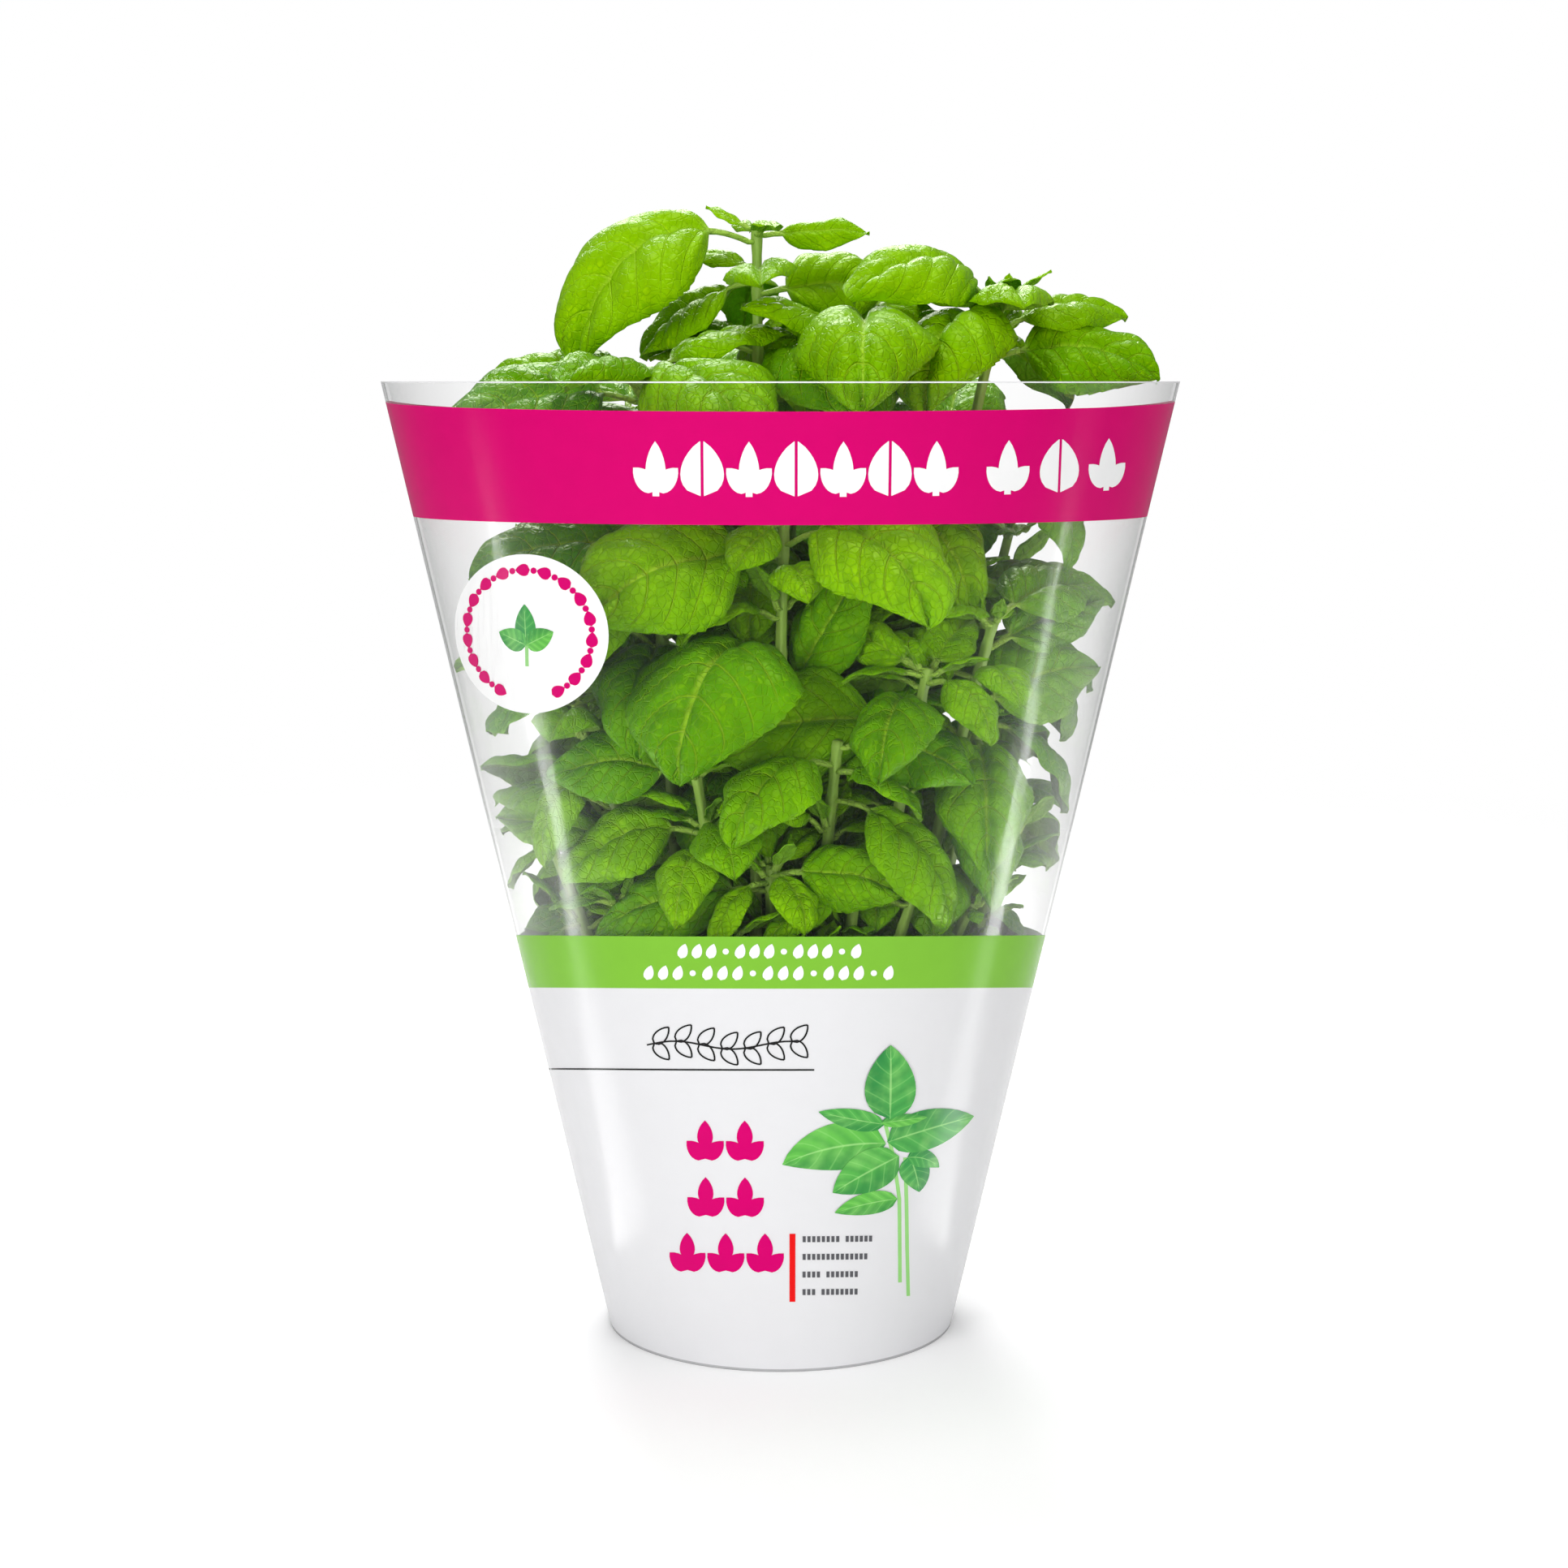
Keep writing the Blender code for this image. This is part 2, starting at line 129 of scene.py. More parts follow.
# Leaves: the stem and the height of the node above the soil in millimetres, then how the leaf grows from
# there in degrees: azimuth from +X, pitch above level, droop along its length and twist about its
# midrib, and last the blade's length and width in millimetres and how far its sides curl under.
Leaf = namedtuple("Leaf", "stem height azimuth pitch droop twist length width curl")
LEAVES = {
    "tall_left_arch": Leaf("tall", 237, 198, 24, 118, -32, 64, 46, 35),
    "tall_left_hanging": Leaf("tall", 225, 176, -8, 52, -25, 34, 28, 30),
    "tall_right": Leaf("tall", 222, 8, 16, 26, 58, 32, 28, 30),
    "tall_low_left": Leaf("tall", 205, 190, 24, 55, -30, 28, 16, 35),
    "tall_low_front": Leaf("tall", 200, 305, 30, 95, 10, 56, 46, 35),
    "left_top_front": Leaf("left", 194, 312, 30, 95, 15, 54, 44, 40),
    "left_top_side": Leaf("left", 190, 204, 20, 66, -40, 54, 42, 40),
    "left_top_back": Leaf("left", 195, 165, 28, 60, -30, 46, 36, 35),
    "left_mid_side": Leaf("left", 146, 192, 18, 50, -45, 46, 34, 35),
    "mid_right_front": Leaf("mid_right", 208, 268, 36, 112, 5, 60, 46, 45),
    "mid_right_back": Leaf("mid_right", 210, 75, 45, 100, 20, 56, 42, 40),
    "mid_right_arch": Leaf("mid_right", 204, 172, 48, 112, -30, 52, 42, 40),
    "mid_right_low": Leaf("mid_right", 160, 318, 5, 85, 15, 48, 36, 35),
    "right_top_left": Leaf("right_top", 217, 212, 54, 104, -25, 48, 38, 35),
    "right_top_front": Leaf("right_top", 210, 240, 38, 135, 0, 52, 42, 55),
    "right_top_side": Leaf("right_top", 203, 345, 22, 58, 46, 43, 32, 40),
    "right_top_back": Leaf("right_top", 206, 52, 6, 60, 20, 40, 30, 35),
    "right_top_low": Leaf("right_top", 168, 352, 22, 135, 20, 44, 28, 35),
    "front_mid_left": Leaf("front_mid", 147, 204, 12, 58, -50, 54, 44, 30),
    "front_mid_right": Leaf("front_mid", 150, 318, 30, 104, 26, 54, 40, 35),
    "front_mid_great": Leaf("front_mid", 117, 236, 30, 128, -6, 60, 57, 30),
    "front_mid_rising": Leaf("front_mid", 103, 350, 70, 20, 60, 40, 27, 30),
    "right_front_side": Leaf("right_front", 119, 8, 20, 16, 50, 48, 22, 35),
    "right_front_back": Leaf("right_front", 128, 62, 18, 40, 30, 44, 26, 30),
    "right_front_rising": Leaf("right_front", 100, 350, 52, 40, 65, 44, 33, 25),
    "front_right_left": Leaf("front_right", 100, 212, 4, 16, -68, 54, 34, 30),
    "front_right_front": Leaf("front_right", 104, 256, 30, 120, 6, 38, 30, 45),
    "front_centre_left": Leaf("front_centre", 88, 262, 20, 98, -6, 44, 38, 35),
    "front_centre_right": Leaf("front_centre", 77, 304, 12, 88, 12, 50, 40, 35),
    "right_low_front": Leaf("right_low", 90, 312, 28, 118, 0, 58, 38, 35),
    "right_low_side": Leaf("right_low", 95, 338, 18, 95, 10, 44, 28, 35),
    "front_low_right": Leaf("front_low", 57, 328, 14, 45, 48, 31, 24, 35),
    "front_low_left": Leaf("front_low", 52, 212, 6, 45, -50, 44, 27, 35),
    "front_left_side": Leaf("front_left", 67, 222, 18, 76, -30, 38, 32, 35),
    "front_left_top": Leaf("front_left", 84, 172, 24, 50, -50, 36, 26, 35),
    "left_low_side": Leaf("left_low", 62, 188, 2, 14, -58, 40, 17, 30),
    "left_low_top": Leaf("left_low", 102, 168, 14, 60, -25, 38, 28, 35),
    "back_left_side": Leaf("back_left", 184, 130, 24, 70, 0, 54, 40, 35),
    "back_left_low": Leaf("back_left", 121, 150, 20, 95, 0, 54, 38, 35),
    "back_mid_left": Leaf("back_mid", 200, 112, 30, 95, 0, 56, 42, 35),
    "back_mid_right": Leaf("back_mid", 152, 68, 24, 100, 0, 56, 40, 35),
    "back_right_side": Leaf("back_right", 176, 40, 26, 80, 0, 54, 40, 35),
}
SIZES = (1.0, 0.9, 0.8, 0.7, 0.6, 0.5)
TURNS = (0, 8, -8, 16, -16, 26, -26, 40, -40)
LIFTS = (0, -9, 9, -18, 18, 30)
Growth = namedtuple("Growth", "size lift turn")
GROWTHS = [Growth(size, lift, turn) for size in SIZES for lift in LIFTS for turn in TURNS]

# Smaller leaves between the framed ones, placed one by one.
BETWEEN = {
    "tall_crown_left": Leaf("tall", 241, 172, 38, 20, -20, 12, 7, 30),
    "tall_crown_right": Leaf("tall", 239, 352, 8, 12, 50, 26, 13, 60),
    "tall_crown_front": Leaf("tall", 239, 285, 30, 50, 0, 16, 10, 30),
    "tall_crown_back": Leaf("tall", 238, 95, 40, 60, 0, 22, 13, 30),
    "left_crown_front": Leaf("left", 192, 262, 34, 80, 0, 42, 32, 35),
    "left_crown_back": Leaf("left", 197, 40, 36, 60, 0, 40, 30, 35),
    "front_mid_crown": Leaf("front_mid", 159, 95, 50, 50, 0, 34, 24, 35),
    "mid_right_crown": Leaf("mid_right", 205, 300, 40, 60, 0, 36, 26, 35),
    "mid_right_crown_left": Leaf("mid_right", 205, 205, 44, 50, -20, 34, 24, 35),
    "right_top_crown": Leaf("right_top", 213, 262, 46, 80, 0, 34, 26, 35),
    "right_top_crown_back": Leaf("right_top", 214, 120, 40, 60, 0, 38, 26, 35),
    "right_top_crown_right": Leaf("right_top", 211, 18, 36, 60, 20, 34, 24, 35),
    "front_mid_small": Leaf("front_mid", 156, 236, -4, 50, -20, 22, 17, 35),
    "front_mid_low": Leaf("front_mid", 104, 250, 20, 70, 0, 30, 20, 30),
    "front_centre_back": Leaf("front_centre", 93, 20, 20, 70, 45, 34, 26, 35),
    "front_right_narrow": Leaf("front_right", 114, 150, 30, 25, -60, 34, 14, 40),
    "front_right_young": Leaf("front_right", 113, 60, 50, 40, 20, 26, 17, 35),
    "left_low_hanging": Leaf("left_low", 80, 222, 18, 130, 0, 34, 18, 40),
    "left_low_outer": Leaf("left_low", 103, 205, 30, 40, -30, 30, 18, 35),
    "left_low_round": Leaf("left_low", 96, 300, 10, 90, 0, 20, 18, 25),
    "left_mid_front": Leaf("left", 118, 262, 26, 110, 0, 46, 34, 35),
    "front_left_front": Leaf("front_left", 62, 250, 20, 120, 0, 30, 20, 40),
    "front_low_front": Leaf("front_low", 57, 285, 30, 110, 0, 24, 18, 35),
    "right_low_hanging": Leaf("right_low", 74, 296, 20, 125, 0, 46, 24, 40),
    "right_low_back": Leaf("right_low", 92, 40, 24, 80, 0, 40, 28, 35),
    "right_front_young": Leaf("right_front", 126, 230, 40, 60, 0, 24, 16, 35),
    "right_front_small": Leaf("right_front", 112, 290, 30, 90, 0, 26, 18, 35),
}

# Shoots stand between the framed stems and have no solid of their own in the frame.
SHOOTS = {
    "inner_left": Stem(-26, 8, -24, 12, 178),
    "inner_front": Stem(8, -14, 10, -24, 150),
    "inner_right": Stem(20, 22, 26, 18, 192),
    "inner_back": Stem(-16, 30, -14, 26, 196),
    "side_left": Stem(-62, -4, -66, 4, 128),
    "side_left_back": Stem(-60, 30, -64, 30, 142),
    "side_right_back": Stem(62, 30, 66, 26, 150),
    "back_low": Stem(-18, 66, -18, 70, 122),
    "back_low_right": Stem(20, 68, 20, 72, 134),
    "front_low_left": Stem(-36, -64, -40, -66, 52),
    "front_low_right": Stem(24, -70, 26, -74, 62),
    "front_low_middle": Stem(-10, -60, -8, -64, 72),
    "side_low_right": Stem(74, -30, 78, -34, 66),
    "side_low_left": Stem(-72, -30, -78, -30, 60),
    "middle_low": Stem(4, -42, 6, -48, 88),
    "rim_left": Stem(-50, -58, -56, -62, 48),
    "rim_front_left": Stem(-16, -80, -18, -86, 42),
    "rim_front": Stem(9, -82, 11, -88, 36),
    "rim_front_right": Stem(38, -70, 44, -76, 50),
    "rim_right": Stem(58, -52, 66, -58, 46),
}

ALL_STEMS = {**STEMS, **SHOOTS}

# The veins of a leaf: how many there are from base to tip, and how far each one slants and curves.
LEAF_MAP = "leaf"
LEAF_VEINS = 5.5
VEIN_SLANT = 0.2
VEIN_CURVE = 0.16

# A blade's half thickness, the midrib beneath it, the furrow above it, and its teeth. A leaf as long as
# TOOTHED_SIZE has whole teeth, and one as long as FULL_SIZE has its whole puff, quilting and ripple.
BLADE_HALF = 0.00016
MIDRIB_DEPTH = 0.0007
MIDRIB_WIDTH = 0.0009
FURROW_WIDTH = 0.0012
TOOTH_SPACING = 0.005
PETIOLE_HALF = 0.00085
TOOTHED_SIZE = 0.03
FULL_SIZE = 0.05
LEAST_HALF = 0.0003
FILM_CLEARANCE = 0.0003

# A stalk's swelling at each leaf node, how far it reaches below the soil, and the height of its rows.
NODE_SWELL = 0.22
NODE_SPREAD = 0.0022
STALK_IN_SOIL = 0.006
STALK_ROW = 0.0022

# The share of an added leaf that may stand before the framed ones, looked at from the front, and how many
# faces a search tree of added leaves holds.
FRONT_VIEW = Vector((0, -0.9, 0.3))
MOST_HIDDEN = 0.22
TREE_FACES = 4000

# Bands of the sleeve's print, bottom to top: the height of each lower edge at the front, at the side
# welds and at the back, the finish from there up, and its rows of faces. The cut edge at the foot and the
# rim at the mouth are level all round.
Band = namedtuple("Band", "front side back finish rows")
EDGE, PANEL, GREEN, CLEAR, PINK, RIM = range(6)
EDGE_HEIGHT = 0.0009
RIM_HEIGHT = 0.0004

# How far the film is slack above the pot, and its two side welds: half their width and their thickness.
SLACK = 0.0004
SLACK_STARTS = 0.08
WELD_HALF = math.radians(0.8)
WELD_THICKNESS = 0.00035


def colour_setting(name, description, default):
    return bpy.props.FloatVectorProperty(
        name=name, description=description, subtype="COLOR", size=3, min=0, max=1, default=default)


def length_setting(name, description, default, least, most):
    return bpy.props.FloatProperty(
        name=name, description=description, subtype="DISTANCE", unit="LENGTH", default=default,
        min=least, max=most)


class FilmSettings(bpy.types.PropertyGroup):
    pink: colour_setting("Pink", "Upper printed band", (0.66, 0.0, 0.155))
    green: colour_setting("Green", "Lower printed band", (0.22, 0.53, 0.045))
    white: colour_setting("White", "Opaque panel round the pot", (0.76, 0.76, 0.775))
    thickness: length_setting(
        "Film thickness", "Between the film's two faces", 0.00012, 0.00002, FILM_INSIDE)
    haze: bpy.props.FloatProperty(
        name="Haze", description="How much the clear film veils what is behind it, seen edge on",
        subtype="FACTOR", default=0.13, min=0, max=1)


class PlantSettings(bpy.types.PropertyGroup):
    young: colour_setting("Young leaf", "Upper face of a young leaf", (0.26, 0.60, 0.001))
    mature: colour_setting("Mature leaf", "Upper face of a mature leaf", (0.07, 0.295, 0.001))
    stalk: colour_setting("Stalk", "Stems and petioles", (0.34, 0.56, 0.08))
    # Painted light: the lighter green that leaves above the sleeve's rim are mixed towards.
    sunlit: colour_setting(
        "Sunlit leaf", "What the leaves above the sleeve's rim lean to", (0.42, 0.76, 0.002))
    glow: colour_setting("Light through", "The light that comes through a blade", (0.25, 0.58, 0.0))
    puff: length_setting(
        "Puff", "How far each half of a blade swells beside its midrib", 0.0024, 0, 0.006)
    quilting: length_setting("Quilting", "How far a blade rises between its veins", 0.0017, 0, 0.003)
    ripple: length_setting("Ripple", "How far a blade's edge waves up and down", 0.0014, 0, 0.004)
    spacing: length_setting(
        "Node spacing", "Height between the leaf pairs added on each stem", 0.018, 0.01, 0.08)


class PotSettings(bpy.types.PropertyGroup):
    plastic: colour_setting("Pot plastic", "Moulded pot", (0.022, 0.022, 0.024))
    soil: colour_setting("Soil", "Potting soil", (0.045, 0.026, 0.014))


class StageSettings(bpy.types.PropertyGroup):
    floor: colour_setting("Floor", "Pale floor", (0.93, 0.93, 0.93))
    distance: length_setting("Camera distance", "From the pot's axis", 0.892, 0.3, 5)
    tilt: bpy.props.FloatProperty(
        name="Camera tilt", description="How far the camera looks down", subtype="ANGLE",
        default=math.radians(7.785), min=-1.5, max=1.5)
    lens: bpy.props.FloatProperty(
        name="Focal length", description="On a 36 mm sensor, in millimetres", default=67.6, min=10,
        max=300)


# ---------------------------------------------------------------- shader expressions


class Value:
    """A shader socket that takes part in Python arithmetic: each operator adds its Math node."""

    def __init__(self, finish, socket):
        self.finish = finish
        self.socket = socket

    def math(self, operation, *others):
        values = dict(enumerate((self, *others)))
        return self.finish.node("ShaderNodeMath", {"operation": operation}, values)

    def __add__(self, other):
        return self.math("ADD", other)

    __radd__ = __add__

    def __mul__(self, other):
        return self.math("MULTIPLY", other)

    __rmul__ = __mul__

    def __sub__(self, other):
        return self.math("SUBTRACT", other)

    def __rsub__(self, other):
        return self * -1 + other

    def __pow__(self, other):
        return self.math("POWER", other)

    def __abs__(self):
        return self.math("ABSOLUTE")

    def fraction(self):
        return self.math("FRACT")

    def between(self, low, high):
        """0 at low and 1 at high, with a smooth step between, held outside them."""
        settings = {"interpolation_type": "SMOOTHSTEP"}
        values = {"Value": self, "From Min": low, "From Max": high}
        return self.finish.node("ShaderNodeMapRange", settings, values)


class Finish:
    """A material that is built by expressions."""

    def __init__(self, name):
        self.material = bpy.data.materials.new(name)
        self.material.use_nodes = True
        self.tree = self.material.node_tree
        self.tree.nodes.clear()

    def node(self, kind, settings=None, values=None, output=0):
        """Adds a node: its settings, then its sockets' values or links. Gives one of its outputs."""
        made = self.tree.nodes.new(kind)
        for name, setting in (settings or {}).items():
            setattr(made, name, setting)
        for key, value in (values or {}).items():
            self.plug(made.inputs[key], value)
        return Value(self, made.outputs[output]) if made.outputs else None

    def plug(self, socket, value):
        if isinstance(value, Value):
            self.tree.links.new(value.socket, socket)
        elif socket.type == "RGBA" and len(value) == 3:
            socket.default_value = (*value, 1)
        else:
            socket.default_value = value

    def mix(self, share, first, second):
        """Two colours mixed by share."""
        settings = {"data_type": "RGBA", "clamp_factor": True}
        return self.node("ShaderNodeMix", settings, {0: share, 6: first, 7: second}, output=2)

    def place(self):
        return self.node("ShaderNodeTexCoord", output=3)

    def parts(self, vector):
        """The three parts of a vector."""
        first = self.node("ShaderNodeSeparateXYZ", None, {0: vector})
        return [Value(self, output) for output in first.socket.node.outputs]

    def height(self):
        """The height above the floor."""
        return self.parts(self.place())[2]

    def leaf_map(self):
        """How far along a leaf from its base, and across it from edge to edge."""
        return self.parts(self.node("ShaderNodeUVMap", {"uv_map": LEAF_MAP}))[:2]

    def stretched(self, scale):
        """The piece's own coordinates, stretched by a scale for each axis."""
        return self.node("ShaderNodeVectorMath", {"operation": "MULTIPLY"}, {0: self.place(), 1: scale})

    def noise(self, scale, detail=2.0, place=None):
        values = {"Scale": scale, "Detail": detail, "Vector": place or self.place()}
        return self.node("ShaderNodeTexNoise", None, values)

    def cells(self, scale, feature="F1", place=None):
        values = {"Scale": scale, "Vector": place or self.place()}
        return self.node("ShaderNodeTexVoronoi", {"feature": feature}, values)

    def attribute(self, name):
        return self.node("ShaderNodeAttribute", {"attribute_name": name}, output=2)

    def bump(self, height, distance, strength=1.0):
        values = {"Height": height, "Distance": distance, "Strength": strength}
        return self.node("ShaderNodeBump", None, values)

    def principled(self, **sockets):
        values = {name.replace("_", " ").title().replace("Ior", "IOR"): v for name, v in sockets.items()}
        return self.node("ShaderNodeBsdfPrincipled", None, values)

    def layered(self, share, under, over):
        """Two shaders, the upper one showing by share."""
        return self.node("ShaderNodeMixShader", None, {0: share, 1: under, 2: over})

    def clear(self):
        return self.node("ShaderNodeBsdfTransparent", None, {"Color": (1, 1, 1)})

    def lit_through(self, share, surface, colour):
        """A surface with a share of light coming through it in a colour."""
        through = self.node("ShaderNodeBsdfTranslucent", None, {"Color": colour})
        return self.layered(share, surface, through)

    def done(self, surface):
        self.node("ShaderNodeOutputMaterial", None, {"Surface": surface})
        return self.material


# Colours that the settings don't hold.
VEIN_GREEN = (0.42, 0.72, 0.02)
MIDRIB_GREEN = (0.46, 0.74, 0.04)
UNDERSIDE = (0.22, 0.46, 0.035)
UNDERSIDE_VEIN = (0.40, 0.64, 0.12)
STALK_FLUSH = (0.30, 0.24, 0.10)
PEAT_FIBRE = (0.20, 0.12, 0.06)
PALE_GRIT = (0.42, 0.38, 0.32)


def tinted(colour, by):
    return tuple(min(1.0, part * by) for part in colour)


def leaf_finish(plant):
    """Blade: deeper between its veins, pale along them, duller beneath, with light coming through,
    painted lighter above the sleeve's rim and with painted shade in blotches below it.
    """
    finish = Finish("basil leaf")
    along, across = finish.leaf_map()
    tone = finish.attribute("tone")
    under = finish.attribute("under")
    side = abs(across * 2 - 1)
    phase = (along - side * VEIN_SLANT - side * side * VEIN_CURVE) * LEAF_VEINS
    to_vein = abs((phase + 0.5).fraction() - 0.5)
    vein = (1 - to_vein.between(0.0, 0.05)) * (1 - side.between(0.7, 0.95))
    midrib = 1 - side.between(0.0, 0.055)
    petiole = 1 - along.between(-0.02, 0.05)
    patch = finish.noise(55.0, 3.0)
    grain = finish.noise(900.0, 2.0)
    pucker = finish.noise(190.0, 2.0)
    net = finish.cells(430.0, "DISTANCE_TO_EDGE")
    mesh_lines = 1 - net.between(0.0, 0.12)
    # Painted light and shade: leaves above the sleeve's rim count as sunlit, those below as shaded.
    sunlit = finish.height().between(SLEEVE_HEIGHT - 0.01, SLEEVE_HEIGHT + 0.03)
    shaded = 1 - sunlit
    face = finish.mix(tone, plant.young, plant.mature)
    light = finish.mix(tone, tinted(plant.young, 1.15), tinted(plant.mature, 1.5))
    face = finish.mix((patch - 0.35) * 0.9, face, light)
    face = finish.mix(to_vein.between(0.1, 0.5) * pucker * 0.5, face, tinted(plant.mature, 0.5))
    # Painted shade: darker blotches on the puckers, on leaves below the sleeve's rim only.
    face = finish.mix(pucker.between(0.5, 0.68) * shaded * 0.25, face, tinted(plant.mature, 0.55))
    face = finish.mix(mesh_lines * (0.1 + shaded * 0.22), face, tinted(plant.young, 1.25))
    face = finish.mix(vein * (0.36 + shaded * 0.3), face, VEIN_GREEN)
    # Painted light: leaves above the sleeve's rim are mixed towards the lighter sunlit green.
    face = finish.mix(sunlit * 0.4, face, plant.sunlit)
    face = finish.mix(midrib * 0.6, face, MIDRIB_GREEN)
    face = finish.mix(side.between(0.94, 1.0) * 0.25, face, tinted(plant.young, 1.1))
    pale = finish.mix(vein * 0.5 + midrib * 0.4, UNDERSIDE, UNDERSIDE_VEIN)
    colour = finish.mix(under * 0.72, face, pale)
    colour = finish.mix(petiole, colour, plant.stalk)
    relief = pucker * 5.0 + grain * 0.25 + mesh_lines * -0.5 + vein * -1.3 + midrib * -1.5
    relief = relief + shaded * (pucker * 2.0 + grain * 0.3 + mesh_lines * -0.8 + vein * -2.2)
    shine = finish.principled(
        base_color=colour,
        roughness=0.25 + patch * 0.14 + under * 0.25,
        specular_ior_level=0.45,
        specular_tint=(0.75, 1.0, 0.0),
        normal=finish.bump(relief, 0.0003, 0.8),
    )
    share = 0.25 - vein * 0.06 - midrib * 0.12 - petiole * 0.1
    return finish.done(finish.lit_through(share, shine, plant.glow))


def stalk_finish(plant):
    """Stem: pale ribs, darker furrows, fine hairs and a warm flush near the soil."""
    finish = Finish("basil stalk")
    streak = finish.noise(1.0, 3.0, finish.stretched((900, 900, 60)))
    flush = 1 - finish.height().between(SOIL_LEVEL, SOIL_LEVEL + 0.05)
    colour = finish.mix(streak, tinted(plant.stalk, 0.72), tinted(plant.stalk, 1.18))
    colour = finish.mix(flush * 0.45, colour, STALK_FLUSH)
    hairs = finish.noise(2600.0, 1.0)
    shine = finish.principled(
        base_color=colour, roughness=0.5 + streak * 0.1, normal=finish.bump(streak + hairs * 0.4, 0.0002))
    return finish.done(finish.lit_through(0.2, shine, plant.stalk))


def soil_finish(pot):
    """Damp peat: crumbs, fibres and the odd pale grain."""
    finish = Finish("potting soil")
    crumbs = finish.cells(420.0)
    clods = finish.noise(140.0, 5.0)
    fibres = finish.noise(1.0, 2.0, finish.stretched((220, 1400, 700)))
    pale = finish.noise(700.0, 1.0).between(0.7, 0.78)
    colour = finish.mix(clods, tinted(pot.soil, 0.45), tinted(pot.soil, 2.0))
    colour = finish.mix(fibres.between(0.58, 0.68) * 0.6, colour, PEAT_FIBRE)
    colour = finish.mix(pale, colour, PALE_GRIT)
    relief = crumbs + clods * 1.4
    return finish.done(finish.principled(
        base_color=colour, roughness=0.86 + clods * 0.12, normal=finish.bump(relief, 0.0012)))


def pot_finish(pot):
    """Recycled moulded plastic, faintly marbled, with the mould's fine texture."""
    finish = Finish("pot plastic")
    flow = finish.noise(38.0, 6.0)
    grain = finish.noise(1500.0, 2.0)
    colour = finish.mix(flow, tinted(pot.plastic, 0.7), tinted(pot.plastic, 1.9))
    return finish.done(finish.principled(
        base_color=colour, roughness=0.36 + flow * 0.2, normal=finish.bump(grain, 0.00012)))


def clear_finish(film):
    """Clear film: nearly unseen square on, greyer towards its outline, with a soft gloss."""
    finish = Finish("clear film")
    slack = finish.noise(1.0, 3.0, finish.stretched((26, 26, 7)))
    graze = finish.node("ShaderNodeLayerWeight", None, {"Blend": 0.5}, output=1)
    relief = finish.bump(slack, 0.0016)
    dust = finish.noise(90.0, 4.0)
    gloss = finish.node(
        "ShaderNodeBsdfAnisotropic", None, {"Color": (1, 1, 1), "Roughness": 0.16, "Normal": relief})
    grey = finish.mix(dust, (0.56, 0.56, 0.58), (0.63, 0.63, 0.65))
    veil = finish.principled(base_color=grey, roughness=0.5, specular_ior_level=0.0)
    shining = finish.layered(graze ** 3 * 0.32 + 0.002, finish.clear(), gloss)
    return finish.done(finish.layered(graze ** 2 * film.haze + dust * 0.003, shining, veil))


def ink_finish(name, colour, depth=0.06):
    """Printed film: one ink laid down a little unevenly under the film's gloss."""
    finish = Finish(name)
    slack = finish.noise(1.0, 3.0, finish.stretched((26, 26, 7)))
    density = finish.noise(160.0, 4.0)
    dots = finish.noise(2400.0, 1.0)
    shade = density * 0.7 + dots * 0.3
    tone = finish.mix(shade, tinted(colour, 1 - depth), tinted(colour, 1 + depth))
    shine = finish.principled(
        base_color=tone, roughness=0.18 + density * 0.08, specular_ior_level=0.05,
        normal=finish.bump(slack, 0.0006))
    return finish.done(finish.lit_through(0.15, shine, colour))


def picture_finish():
    """The printed sprig: leaves in flat greens with pale veins."""
    finish = Finish("printed sprig")
    along, across = finish.leaf_map()
    tone = finish.attribute("tone")
    side = abs(across * 2 - 1)
    to_vein = abs(((along - side * VEIN_SLANT) * 5 + 0.5).fraction() - 0.5)
    patch = finish.noise(130.0, 3.0)
    face = finish.mix(tone, (0.03, 0.27, 0.07), (0.14, 0.50, 0.07))
    face = finish.mix(across.between(0.3, 0.9) * 0.6, face, (0.015, 0.17, 0.05))
    face = finish.mix(patch.between(0.4, 0.8) * 0.5, face, (0.27, 0.62, 0.16))
    face = finish.mix(to_vein.between(0.1, 0.5) * 0.3, face, (0.02, 0.18, 0.04))
    face = finish.mix((1 - to_vein.between(0.0, 0.08)) * 0.3, face, (0.30, 0.66, 0.20))
    face = finish.mix((1 - side.between(0.0, 0.07)) * 0.6, face, (0.38, 0.72, 0.25))
    return finish.done(finish.principled(
        base_color=face, roughness=0.2 + patch * 0.08, specular_ior_level=0.07))


# ---------------------------------------------------------------- meshes


def numbered_from(start, faces):
    """The faces, with their corners counted from start."""
    return [tuple(start + k for k in face) for face in faces]


def tube_faces(around, rows):
    """Faces between the rings of a tube."""
    faces = []
    for i in range(rows):
        for k in range(around):
            a, b = i * around + k, i * around + (k + 1) % around
            faces.append((a, b, b + around, a + around))
    return faces


def in_scene(name, data):
    """A new object in the scene."""
    made = bpy.data.objects.new(name, data)
    bpy.context.scene.collection.objects.link(made)
    return made


